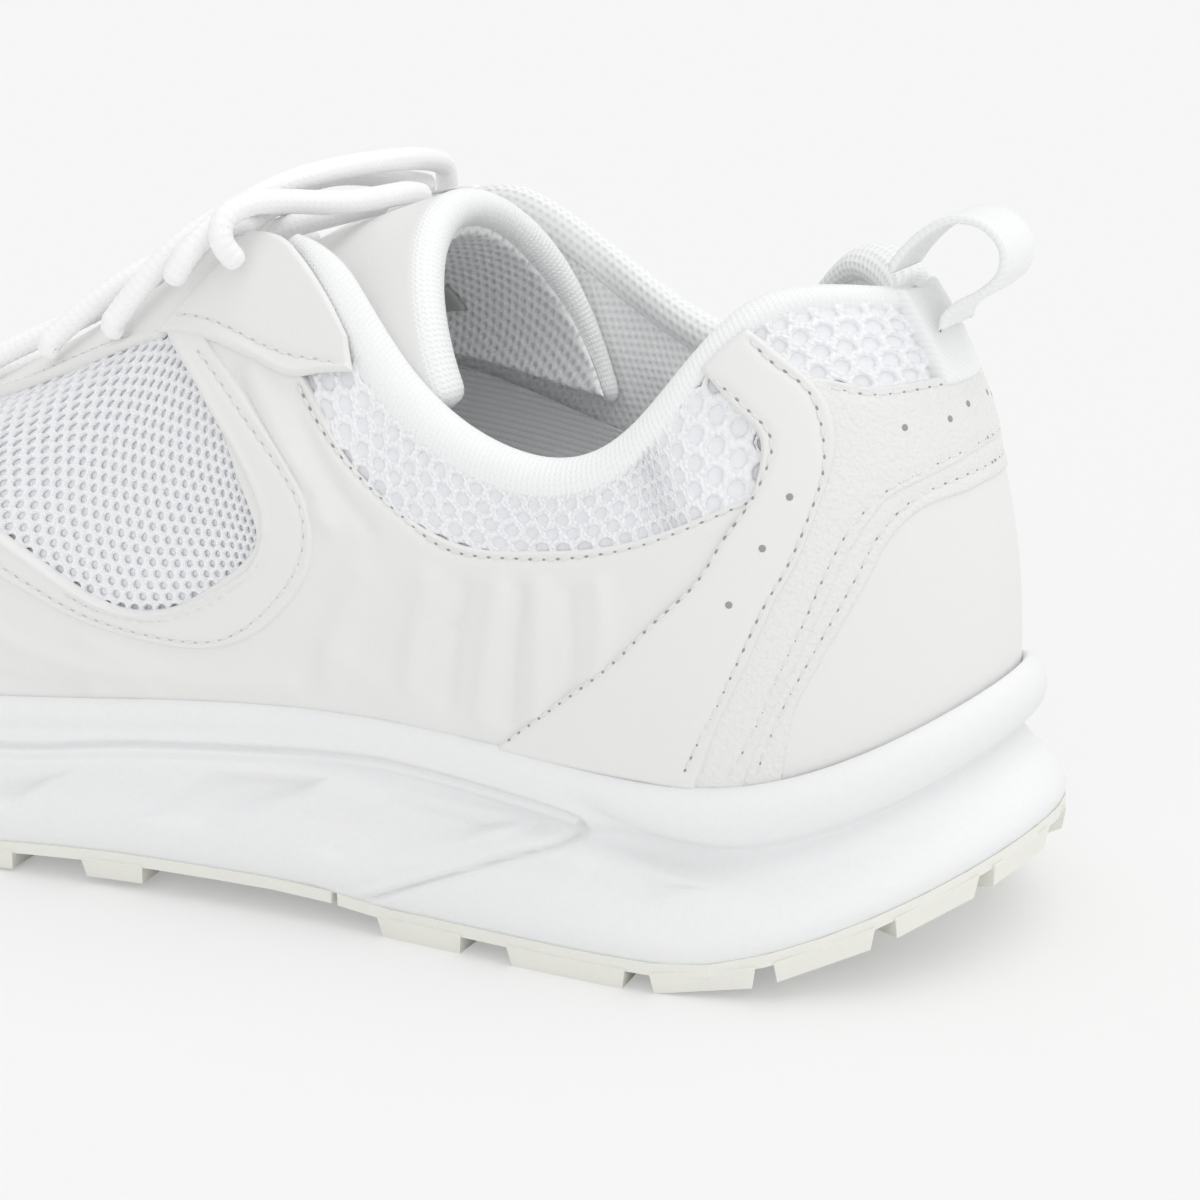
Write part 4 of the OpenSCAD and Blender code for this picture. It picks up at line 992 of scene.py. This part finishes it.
VIEW_TURN = (208.465, 16.892, -1.3465)  # the camera's azimuth, elevation and roll in degrees
VIEW_TARGET, VIEW_DISTANCE = (-0.067674, 0, 0.046558), 0.40985  # metres
VIEW_LENS = 72.963  # mm
FLOOR_HALF = 8.0  # metres
FLOOR_COLOUR, FLOOR_SEEN, FLOOR_GLOW = (0.895, 0.895, 0.893), (0.56, 0.56, 0.558), 0.323
SKY = 0.735
# Name, strength, angle in radians, and the direction that it comes from
LAMPS = (("key", 0.87, 0.9, (-0.35, -0.2, 1.0)), ("fill", 0.5, 1.4, (-0.6, 0.75, 0.6)))


class SHOE_OT_stage(bpy.types.Operator):
    """Add the camera, the floor, the soft lamps and the surround."""

    bl_idname = "shoe.stage"
    bl_label = "Stage"
    bl_options = {"REGISTER", "UNDO"}

    def execute(self, context):
        scene = context.scene
        azimuth, elevation, roll = np.radians(VIEW_TURN)
        back = Vector((np.sin(azimuth) * np.cos(elevation), -np.cos(azimuth) * np.cos(elevation),
                       np.sin(elevation)))
        right = (-back).cross(Vector((0, 0, 1))).normalized()
        up = right.cross(-back)
        right, up = (right * np.cos(roll) + up * np.sin(roll),
                     up * np.cos(roll) - right * np.sin(roll))
        data = bpy.data.cameras.new("camera")
        data.sensor_width = 36
        data.lens = VIEW_LENS
        data.clip_start, data.clip_end = 0.01, 50
        camera = bpy.data.objects.new("camera", data)
        scene.collection.objects.link(camera)
        turn = Matrix((right, up, back)).transposed().to_4x4()
        camera.matrix_world = Matrix.Translation(Vector(VIEW_TARGET) + back * VIEW_DISTANCE) @ turn
        scene.camera = camera
        scene.view_settings.view_transform = "Standard"
        corners = np.array([[-1, -1, 0], [1, -1, 0], [1, 1, 0], [-1, 1, 0]]) * FLOOR_HALF / MM
        floor = put("floor", corners, [[0, 1, 2, 3]], body=None, shade=False)
        f = Finish("floor_paper", FLOOR_COLOUR, 0.95)
        seen = f.add("ShaderNodeLightPath", "Is Camera Ray")
        f.shades(seen, FLOOR_COLOUR, FLOOR_SEEN)
        f.set("Emission Color", seen)
        f.set("Emission Strength", FLOOR_GLOW)
        f.set("Specular IOR Level", 0.0)
        f.bump(f.noise(500.0, 2.0), 0.00002, 0.2)
        floor.data.materials.append(f.mat)
        world = bpy.data.worlds.new("surround")
        world.use_nodes = True
        sky = world.node_tree.nodes["Background"].inputs
        sky["Color"].default_value = (1.0, 1.0, 1.0, 1)
        sky["Strength"].default_value = SKY
        scene.world = world
        for name, energy, angle, source in LAMPS:
            data = bpy.data.lights.new(name, "SUN")
            data.energy = energy * context.scene.shoe.lamp
            data.angle = angle
            lamp = bpy.data.objects.new(name, data)
            lamp.rotation_euler = Vector(source).to_track_quat("Z", "Y").to_euler()
            scene.collection.objects.link(lamp)
        return {"FINISHED"}


class SHOE_OT_laces(ShoeOperator):
    """Add the laced rows, the loose turn and the two free ends with their tips."""

    bl_idname = "shoe.laces"
    bl_label = "Laces"

    def build(self, c, mats):
        radius = LACE_D / 2
        round_uv = 0.2 * np.pi * radius

        def cord(name, route, node):
            p, length = even(route, 0.45)
            pts, faces, uv = tube(p, radius, 16, wobble=0.07, pitch=1.5)
            return put(name, pts, faces, uv=uv, finish=mats["lace"], slot="lace", turn=round_uv,
                       stands=(node,)), p, length

        pts, faces, uv = join([tube(even(np.array(route), 0.45)[0], radius, 16, wobble=0.07, pitch=1.5)
                               for route in strands()])
        put("laced_rows", pts, faces, uv=uv, finish=mats["lace"], slot="lace", turn=round_uv,
            stands=("lace_rows",))
        cord("loose_turn", TURN, "lace_turn")
        for name, route, node, tip in (("free_end_outer", END_L, "lace_end_lateral", "aglet_lateral"),
                                       ("free_end_inner", END_M, "lace_end_medial", "aglet_medial")):
            obj, p, length = cord(name, route, node)
            last = np.array(route[-1], float)
            d = unit(unit(last - np.array(route[-2], float)) * [1, 1, 0])
            film, _ = even(np.array([last, last + d * 7, last + d * 15, last + d * 22]), 0.6)
            pts, faces, uv = tube(film, radius - 0.2, 20)
            end = put(tip + "_film", pts, faces, uv=uv, finish=mats["tip"], slot="tip", stands=(tip,))
            tuple(p[0] * MM)
            length * MM
            [tuple(q) for q in (p * MM)]


class SHOE_OT_midsole(ShoeOperator):
    """Add the foam midsole with its joint, lip, crease, pockets, groove and rim."""

    bl_idname = "shoe.midsole"
    bl_label = "Midsole"

    def build(self, c, mats):
        n = 780
        u = np.arange(n) * N / n
        rings = midsole_rings(u)
        s = np.concatenate([np.linspace(0, 2.2, 6), np.linspace(2.3, 13.3, 108),
                            np.linspace(13.6, 16, 9)]) / 16
        p = spline(rings, s)
        du = np.roll(p, -1, 1) - np.roll(p, 1, 1)
        dv = np.gradient(p, axis=0)
        normal = unit(np.cross(du, dv))
        centre = np.array([0, 0, 25.0])
        mid = p[40] - centre
        if (normal[40] * mid).sum() < 0:
            normal = -normal
        on_side = smooth(2.6, 3.6, s * 16)[:, None] * (1 - smooth(9.5, 11, s * 16))[:, None]
        p = p + normal * (side_relief(p[..., 0], p[..., 2]) * on_side)[..., None]
        faces = quads(len(s), n, wrap=True)
        bottom = np.arange(n // 2 - 1)
        cap = np.stack([bottom, bottom + 1, (n - 2 - bottom) % n, n - 1 - bottom], -1)
        points = p.reshape(-1, 3)
        uv = np.stack([np.broadcast_to(u * 36, p.shape[:2]), lengths(p, 0)], -1) / 10
        faces = np.concatenate([faces, cap])
        put("midsole_foam", points, faces, uv=uv, finish=mats["foam"], slot="foam",
            stands=("midsole_main", "midsole_front"))


class SHOE_OT_outsole(ShoeOperator):
    """Give the rubber outsole and the hidden inner pieces their finishes."""

    bl_idname = "shoe.outsole"
    bl_label = "Outsole and inner pieces"

    def build(self, c, mats):
        for node, finish in {"outsole_heel": "rubber", "outsole_front": "rubber", "strobel_board": "board",
                             "insole_foam": "core", "heel_counter": "core", "toe_puff": "core",
                             "collar_foam": "core", "tongue_foam": "core"}.items():
            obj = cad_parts[node]
            obj.data.materials.clear()
            obj.data.materials.append(mats[finish])


class SHOE_OT_insole(ShoeOperator):
    """Add the insole's cloth, cupped a little at the heel."""

    bl_idname = "shoe.insole"
    bl_label = "Insole"

    def build(self, c, mats):
        n, m = 240, 48
        u = np.linspace(0.02, 9.98, n)[:, None]
        w = np.linspace(0, 1, m)[None, :]

        def edge(k, z):
            r = row(k)
            return ring(k, r[..., 2] + 2.9, r[..., 3] + z)

        low, high = 4.1, 4.9
        top = edge(u, high) * (1 - w[..., None]) + edge(N - u, high) * w[..., None]
        bottom = edge(u, low) * (1 - w[..., None]) + edge(N - u, low) * w[..., None]
        cup = (2 * w - 1) ** 4 * 1.6 * smooth(60, -40, top[..., 0])
        top[..., 2] += cup
        bottom[..., 2] += cup
        sheet("insole_top_cloth", top[:, ::-1], bottom[:, ::-1], top[:, ::-1, :2], body="insole",
              finish=mats["inner"], slot="mesh", stands=("insole_cloth",))


class SHOE_OT_lining(ShoeOperator):
    """Add the knit lining in its four pieces and the elastic gussets."""

    bl_idname = "shoe.lining"
    bl_label = "Lining"

    def build(self, c, mats):
        for name, u0, u1, v1 in (("lining_toe", -2.9, 2.9, 0.985), ("lining_lateral", 2.93, 7.21, 0.985),
                                 ("lining_medial", 12.79, 17.07, 0.985), ("lining_heel", 7.22, 12.78, 0.985)):
            shell(name + "_knit", [[u0, 0.03, u0, v1], [(u0 + u1) / 2, 0.03, (u0 + u1) / 2, v1],
                                   [u1, 0.03, u1, v1]],
                  below_pad(LINING_IN + LINING_T), below_pad(LINING_IN), mats["lining"], "knit", step=1.6,
                  edge=0.3, stands=(name,))
        for name, region in (("gusset_lateral", [[5.3, 0.42, 5.3, 0.62], [6.9, 0.42, 6.9, 0.62]]),
                             ("gusset_medial", [[13.1, 0.42, 13.1, 0.62], [14.7, 0.42, 14.7, 0.62]])):
            shell(name + "_web", region, below_pad(SEWN_IN + 0.8), below_pad(SEWN_IN), mats["gusset"], "knit",
                  step=0.8, stands=(name,))


class SHOE_OT_mesh(ShoeOperator):
    """Add the open mesh of the windows, the toe, the collar and the heel."""

    bl_idname = "shoe.open_mesh"
    bl_label = "Open mesh"

    def build(self, c, mats):
        w, k = c.window_pitch / MM, c.collar_pitch / MM
        for name, region in (("window_mesh_outer", SIDE_MESH), ("window_mesh_inner", other(SIDE_MESH))):
            netting(name, region, w, w * 0.3, MESH_LOW - 0.1, MESH_TOP, mats["net"], "mesh", ("vamp_mesh",))
        netting("toe_mesh", TOE_MESH, w * 1.15, w * 0.36, MESH_LOW - 0.1, MESH_TOP, mats["net"], "mesh",
                ("vamp_mesh",), sides=6)
        for name, region, stands in (("collar_mesh_outer", COLLAR_MESH, "collar_mesh_lateral"),
                                     ("collar_mesh_inner", other(COLLAR_MESH), "collar_mesh_medial"),
                                     ("heel_mesh_open", HEEL_MESH, "heel_mesh")):
            netting(name, region, k, k * 0.33, MESH_LOW + 0.2, MESH_TOP + 0.25, mats["wide_net"], "mesh",
                    (stands,), tall=0.95)
            # The cloth seen through the holes; its darker colour is painted shade
            shell(name + "_under", region, MESH_LOW, MESH_LOW + 0.3, mats["under"], "mesh", step=1.2,
                  stands=(stands,))
        base = [[u, 0.04, u, 0.5, u, 0.95] for u in range(0, N + 1)]
        shell("inner_cloth", base, -0.25, 0.15, mats["inner"], "mesh", step=1.4, edge=0.3,
              stands=("vamp_mesh",))


SEWN = (-0.3, 0.6)  # height and width of the groove that a seam lies in
BURIED = -0.03  # how far, in v, a panel's lower edge goes below the sole's rim
# Creases and valleys of the quarter: line, height and width
CREASES = [
    ([(6.65, 0.55), (6.62, 0.4), (6.6, 0.26)], 0.83, 2.6),
    ([(7.03, 0.59), (6.98, 0.4), (6.93, 0.22)], 0.83, 2.4),
    ([(7.26, 0.61), (7.24, 0.45), (7.2, 0.24)], 0.75, 2.2),
    ([(7.6, 0.62), (7.58, 0.5), (7.52, 0.36)], 0.68, 2.0),
    ([(6.3, 0.5), (6.25, 0.38), (6.2, 0.24)], 0.68, 2.8),
    ([(6.84, 0.57), (6.8, 0.4), (6.77, 0.24)], -0.68, 1.6),
    ([(7.15, 0.6), (7.1, 0.42), (7.06, 0.22)], -0.68, 1.5),
    ([(7.42, 0.61), (7.4, 0.45), (7.36, 0.28)], -0.52, 1.4),
    ([(5.35, 0.78), (5.75, 0.68), (6.1, 0.58)], 0.75, 1.8),
    ([(5.25, 0.76), (5.6, 0.68), (5.95, 0.62)], -0.68, 1.2),
    ([(5.6, 0.79), (5.95, 0.7), (6.3, 0.62)], -0.6, 1.6),
    ([(4.4, 0.26), (4.8, 0.2), (5.3, 0.17)], 0.75, 2.0),
    ([(4.2, 0.2), (4.6, 0.15), (5.0, 0.14)], -0.52, 1.6),
    ([(5.0, 0.23), (5.5, 0.18), (6.0, 0.2)], 0.6, 2.2),
    ([(6.2, 0.3), (6.6, 0.2), (7.0, 0.2)], 0.45, 3.0)]


class SHOE_OT_leather(ShoeOperator):
    """Add the leather panels with their rounded edges, folded rims, ribs and seam channels."""

    bl_idname = "shoe.leather"
    bl_label = "Leather panels"

    def build(self, c, mats):
        hide, grain = mats["hide"], mats["grain"]
        quarter = lifted(QUARTER, BURIED)
        marks = CREASES + [(SEAM_QUARTER, -0.4, 0.7), (SEAM_CRESCENT, -0.25, 0.9)]
        low, trim = HIDE_LOW - 0.7, TRIM_TOP - 0.1
        shell("quarter_outer", quarter, low, HIDE_TOP, hide, "leather", step=0.62, marks=marks,
              stands=("quarter_lateral",))
        shell("quarter_inner", other(quarter), low, HIDE_TOP, hide, "leather", step=0.8,
              marks=opposite(marks), stands=("quarter_medial",))
        trims = (("window_edge_", CRESCENT, TRIM_LOW - 1.8, TRIM_TOP - 0.5, 0.55, "crescent_",
                  [(SEAM_CRESCENT, *SEWN), (SEAM_WINDOW, *SEWN), (WINDOW_RIM, 0.4, 0.6)]),
                 ("eyestay_", EYESTAY, low, HIDE_TOP + 0.1, 0.7, "eyestay_",
                  [([(r[0], r[1] + 0.008) for r in EYESTAY], 0.5, 0.6), (SEAM_STAY, *SEWN)]),
                 ("eyestay_cap_", EYESTAY_TOP, TRIM_LOW - 0.4, trim, 0.5, "eyestay_top_",
                  [([(r[0], r[1] + 0.01) for r in EYESTAY_TOP], 0.5, 0.65), (SEAM_CAP, *SEWN)]),
                 ("heel_stripe_", STRIPE, TRIM_LOW - 1.6, trim, 0.6, "heel_stripe_",
                  [(SEAM_STRIPE_FRONT, -0.35, 0.6), (SEAM_STRIPE_REAR, -0.35, 0.6)]))
        for side, body, inner in (("outer", "lateral", False), ("inner", "medial", True)):
            for name, region, base, top, step, node, seams in trims:
                region = other(region) if inner else region
                if node == "heel_stripe_":
                    region = self.turned(region, inner)
                shell(name + side, region, base, top, hide, "leather", step=step,
                      marks=opposite(seams) if inner else seams, stands=(node + body,))
        seams = [(SEAM_SADDLE_TOP, *SEWN), (SEAM_SADDLE_LOW, *SEWN)]
        shell("heel_saddle_grained", whole(SADDLE), low, HIDE_TOP + 0.3, grain, "leather", step=0.7,
              marks=seams + opposite(seams), stands=("heel_saddle",))
        seams = [(SEAM_BAND, -0.3, 0.5)]
        shell("heel_band_grained", whole(BAND), HIDE_LOW - 0.6, HIDE_TOP - 0.05, grain, "leather", step=0.6,
              marks=seams + opposite(seams), stands=("heel_band",))
        shell("heel_panel_smooth", lifted(whole(HEEL_PANEL), BURIED), HIDE_LOW - 0.9, HIDE_TOP - 0.45, hide,
              "leather", step=0.8, stands=("heel_panel",))
        shell("toe_cap_smooth", lifted(from_toe(TOE_CAP), BURIED), low, HIDE_TOP, hide, "leather",
              step=1.0, marks=[([(-3.2, 0.24), (0, 0.375), (3.2, 0.24)], -0.3, 0.7)], stands=("toe_cap",))

    @staticmethod
    def turned(region, flip):
        """The stripe from its top down to the sole's rim, where its lowest rib ends."""
        rows = list(region[::-1] if flip else region)
        front, _, rear, _ = rows[0]
        rows[0] = [front, float(v_rim(front)), rear, float(v_rim(rear))]
        return rows[::-1]


class SHOE_OT_stitching(ShoeOperator):
    """Add the thread, and dark dots painted as the shade in the needle holes and the punched holes."""

    bl_idname = "shoe.stitching"
    bl_label = "Stitching"

    def build(self, c, mats):
        pitch = c.stitch_pitch / MM
        # Seams whose needle holes get light grey painted shade, then seams whose needle holes get dark grey
        # painted shade
        light = ((SEAM_WINDOW, TRIM_TOP - 0.75), (SEAM_CRESCENT, TRIM_TOP - 0.75),
                 (SEAM_STAY, HIDE_TOP - 0.15), (SEAM_CAP, TRIM_TOP - 0.35))
        dark = ((SEAM_QUARTER, HIDE_TOP - 0.35), (SEAM_STRIPE_FRONT, TRIM_TOP - 0.4),
                (SEAM_STRIPE_REAR, TRIM_TOP - 0.4), (SEAM_SADDLE_TOP, HIDE_TOP),
                (SEAM_SADDLE_LOW, HIDE_TOP), (SEAM_BAND, HIDE_TOP - 0.35))
        for name, seams in (("light", light), ("dark", dark)):
            centre, tangent, normal = [], [], []
            for line, level in seams:
                for side in (line, mirrored(line)):
                    p, n = trace(side, pitch, level)
                    centre.append(p)
                    tangent.append(unit(np.gradient(p, axis=0)))
                    normal.append(n)
            p, t, n = np.concatenate(centre), np.concatenate(tangent), np.concatenate(normal)
            pts, faces, uv = beads(p, t, n, np.array([pitch * 0.36, 0.3, 0.24]))
            put("stitch_thread_" + name, pts, faces, uv=uv, finish=mats["thread"], slot="lace")
            # Dark beads between the stitches: painted shade for the shadow in each needle hole
            pts, faces, uv = beads(p + t * pitch / 2 - n * 0.02, t, n, np.array([pitch * 0.15, 0.24, 0.12]),
                                   8, 3)
            put("needle_hole_shade_" + name, pts, faces, uv=uv, finish=mats["pit_" + name], slot="leather")
        # The punched holes are flat dark discs: painted shade for the inside of each hole
        holes = [(8.70, 0.67), (8.49, 0.60), (8.25, 0.51)]
        saddle = [(9.38, 0.72), (9.67, 0.72), (9.85, 0.74)]
        spots = [(u, v, TRIM_TOP - 0.06) for u, v in holes] + [(u, v, HIDE_TOP + 0.28) for u, v in saddle]
        spots += [(N - u, v, h) for u, v, h in spots]
        a = np.array(spots)
        p, n = skin(a[:, 0], a[:, 1], a[:, 2]), outward(a[:, 0], a[:, 1])
        t = unit(np.cross(n, [0, 0, 1.0]))
        pts, faces, uv = beads(p, t, n, np.array([0.55, 0.55, 0.1]), 16, 5)
        put("punched_hole_shade_discs", pts, faces, uv=uv, finish=mats["pit_dark"], slot="leather")


class SHOE_OT_binding(ShoeOperator):
    """Add the padded knit roll along the topline."""

    bl_idname = "shoe.binding"
    bl_label = "Collar binding"

    def build(self, c, mats):
        self.roll("binding_roll", 4.98, 9.98, mats["knit"])
        self.roll("binding_roll_inner", 9.9, 15.02, mats["lining"])

    def roll(self, name, start, end, finish):
        """Part of the roll: an ellipse carried along the topline, as thick as the foam under it."""
        n, k = int(110 * (end - start)), 36
        u = np.linspace(start, end, n)
        a = np.arange(k) * 2 * np.pi / k
        e, m = surface(u, 1 + 0 * u), outward(u, 1 + 0 * u)
        rise = unit(surface(u, 1 + 0 * u) - surface(u, 0.97 + 0 * u))
        thick = pad(u, 0.96 + 0 * u) + 2.6
        centre = e - m * (thick / 2 - 0.9)[:, None] - rise * 1.2
        taper = smooth(4.9, 5.5, u) * smooth(15.1, 14.5, u)
        half = (thick / 2 + 1.0) * (0.35 + 0.65 * taper)
        tall = (4.2 - 1.3 * smooth(2.2, 1.2, np.abs(u - 10))) * (0.45 + 0.55 * taper)
        points = (centre[:, None] + m[:, None] * (np.cos(a)[None, :] * half[:, None])[..., None]
                  + rise[:, None] * (np.sin(a)[None, :] * tall[:, None])[..., None])
        run = lengths(e, 0)
        uv = np.stack([run[:, None] + 0 * a[None], a[None] * 4 + 0 * run[:, None]], -1) / 10
        faces = quads(n, k, wrap=True)
        j = np.arange(k // 2 - 1)
        cap = np.stack([j, j + 1, (k - 2 - j) % k, k - 1 - j], -1)
        faces = np.concatenate([faces, cap[:, ::-1], cap + (n - 1) * k])
        mend(put(name, points, faces, uv=uv, finish=finish, slot="knit", turn=0.8 * np.pi,
                 stands=("collar_binding",)))


TONGUE = np.array([[69, -1, 54.6, 19, 5, 2, 50], [52, -1, 63.2, 22, 8, 0, 62], [30, -1, 77, 24.5, 12, -2, 66],
                   [6, -1, 90.6, 25.6, 16, -4, 70], [-18, -1.2, 102.5, 25.4, 22, -8, 78],
                   [-42, -1.6, 111, 24.4, 28, -12, 88]], float)


def tongue_at(p, q):
    """Arched sheet: sections along p are arcs in q that drop and lean at their sides."""
    r = along(TONGUE, p)
    a = np.radians(r[..., 6] * q)
    return np.stack([r[..., 0] + r[..., 5] * (1 - np.cos(a)), r[..., 1] - r[..., 3] * np.sin(a),
                     r[..., 2] - r[..., 4] * (1 - np.cos(a))], -1)


def tongue_pt(p, q, t):
    """Point t above the tongue's middle sheet."""
    p, q = np.broadcast_arrays(np.asarray(p, float), np.asarray(q, float))
    e = 0.01
    n = unit(np.cross(tongue_at(np.minimum(1, p + e), q) - tongue_at(np.maximum(0, p - e), q),
                      tongue_at(p, q + e) - tongue_at(p, q - e)))
    return tongue_at(p, q) + n * np.asarray(t, float)[..., None]


class SHOE_OT_tongue(ShoeOperator):
    """Add the tongue's face, foam, dimpled lining, binding and label."""

    bl_idname = "shoe.tongue"
    bl_label = "Tongue"

    def build(self, c, mats):
        def layer(name, t0, t1, p0, p1, w, finish, slot, node, soft=1.2, marks=None):
            p, q = spaced(130, 1.0, soft), spaced(70, 1.0, soft)
            a, b = (p0 + (p1 - p0) * p)[:, None], (w * (2 * q - 1))[None, :]
            b = b * np.where(b > 0, 1 + 0.2 * smooth(0.6, 0.95, a), 1)
            mid = tongue_at(a + 0 * b, b + 0 * a)
            x, y = lengths(mid, 0), lengths(mid, 1)
            e = np.minimum(np.minimum(x, x[-1:] - x), np.minimum(y, y[:, -1:] - y))
            k = np.sqrt(1 - (1 - np.clip(e / soft, 0, 1)) ** 2)
            lift = 0.0 if marks is None else marks(a, b)
            half, level = (t1 - t0) / 2, (t1 + t0) / 2
            top = tongue_pt(a, b, level + half * (k * 0.94 + 0.06) + lift * k)
            low = tongue_pt(a, b, level - half * (k * 0.94 + 0.06) + lift * k)
            obj = sheet(name, top, low, np.stack([x, y], -1), body="tongue", finish=finish, slot=slot,
                        stands=(node,))
            mend(obj)
            return obj

        foam = layer("tongue_pad", -2, 2, 0.04, 0.965, 0.985, mats["core"], "foam", "tongue_foam", soft=2.0)
        layer("tongue_outer", 1.9, 3.2, 0.0, 1.0, 1.0, mats["hide"], "leather", "tongue_face")
        layer("tongue_inner", -3.2, -1.9, 0.02, 1.0, 1.0, mats["tongue_knit"], "mesh", "tongue_lining",
              marks=lambda a, b: -1.2 * smooth(0.62, 0.85, a) * np.cos(b * np.pi / 2) ** 2)
        q = np.linspace(1.22, -1.03, 260)
        top = tongue_pt(1.0 + 0 * q, q, 0.0 * q)
        p, _ = even(top[::6], 0.8)
        pts, faces, uv = tube(p, 3.2 - 1.5 * smooth(0.35, 0.0, np.linspace(0, 1, len(p))), 28)
        put("tongue_roll", pts, faces, body="tongue", uv=uv, finish=mats["knit"], slot="knit",
            turn=0.64 * np.pi, stands=("tongue_binding",))
        a = np.linspace(0.78, 0.858, 14)[:, None]
        b = np.linspace(0.6, 0.8, 30)[None, :]
        mend(sheet("tongue_tag", tongue_pt(a, b, -3.8), tongue_pt(a, b, -4.2), np.zeros((14, 30, 2)),
                   body="tongue", finish=mats["label"], slot="label", stands=("tongue_label",)))


class SHOE_OT_pull_loop(ShoeOperator):
    """Add the webbing loop at the heel and its two sewn ends."""

    bl_idname = "shoe.pull_loop"
    bl_label = "Pull loop"

    def build(self, c, mats):
        route = np.array([[-129.8, 97.5], [-130, 99.5], [-132, 101.5], [-135.5, 103.5], [-138.5, 106.5],
                          [-138.6, 110.5], [-135.5, 113.6], [-131, 114.2], [-126.8, 112.3],
                          [-123.4, 109.2], [-121.2, 106.2]])
        p, length = even(np.stack([route[:, 0], 0 * route[:, 0] - 0.5, route[:, 1]], -1), 0.5)
        t = unit(np.gradient(p, axis=0))
        out = np.stack([t[:, 2], 0 * t[:, 0], -t[:, 0]], -1)
        y = np.concatenate([[-6.5, -6.3, -5.9], np.linspace(-5.4, 5.4, 17), [5.9, 6.3, 6.5]])
        k = np.sqrt(1 - np.clip((np.abs(y) - 5.8) / 0.7, 0, 1) ** 2) * 0.62 + 0.08
        run = np.linspace(0, length, len(p))
        middle = p[:, None] + np.stack([0 * y, y, 0 * y], -1)[None]
        half = out[:, None] * k[None, :, None]
        mend(sheet("heel_loop", middle + half, middle - half,
                   np.stack(np.broadcast_arrays(run[:, None], y[None]), -1), body="loop", finish=mats["web"],
                   slot="knit", stands=("pull_loop",)))
        shell("loop_end_outer", [[9.72, 0.78, 9.72, 0.995], [10.22, 0.78, 10.22, 0.995]], MESH_LOW,
              TRIM_LOW + 0.4, mats["web"], "knit", step=0.5, stands=("loop_tab_outer",))
        shell("loop_end_inner", [[9.72, 0.86, 9.72, 0.93], [10.22, 0.86, 10.22, 0.93]],
              below_pad(SEWN_IN + 1.4), below_pad(SEWN_IN), mats["web"], "knit", step=0.8,
              stands=("loop_tab_inner",))


OPERATORS = (SHOE_OT_stage, SHOE_OT_laces, SHOE_OT_midsole, SHOE_OT_outsole, SHOE_OT_insole, SHOE_OT_lining,
             SHOE_OT_mesh, SHOE_OT_leather, SHOE_OT_stitching, SHOE_OT_binding, SHOE_OT_tongue,
             SHOE_OT_pull_loop)


class SHOE_PT_panel(bpy.types.Panel):
    """Lists the shoe's settings and operators."""

    bl_label = "Running shoe"
    bl_idname = "SHOE_PT_panel"
    bl_space_type = "VIEW_3D"
    bl_region_type = "UI"
    bl_category = "Shoe"

    def draw(self, context):
        for name in ShoeSettings.__annotations__:
            self.layout.prop(context.scene.shoe, name)
        for op in OPERATORS:
            self.layout.operator(op.bl_idname)


CLASSES = (ShoeSettings, *OPERATORS, SHOE_PT_panel)


def register():
    for cls in CLASSES:
        bpy.utils.register_class(cls)
    bpy.types.Scene.shoe = bpy.props.PointerProperty(type=ShoeSettings)


def unregister():
    del bpy.types.Scene.shoe
    for cls in reversed(CLASSES):
        bpy.utils.unregister_class(cls)


def main():
    register()
    for op in OPERATORS:
        group, name = op.bl_idname.split(".")
        if getattr(getattr(bpy.ops, group), name)() != {"FINISHED"}:
            raise RuntimeError(op.bl_label + " did not finish")
    bpy.context.view_layer.update()


if __name__ == "__main__":
    main()
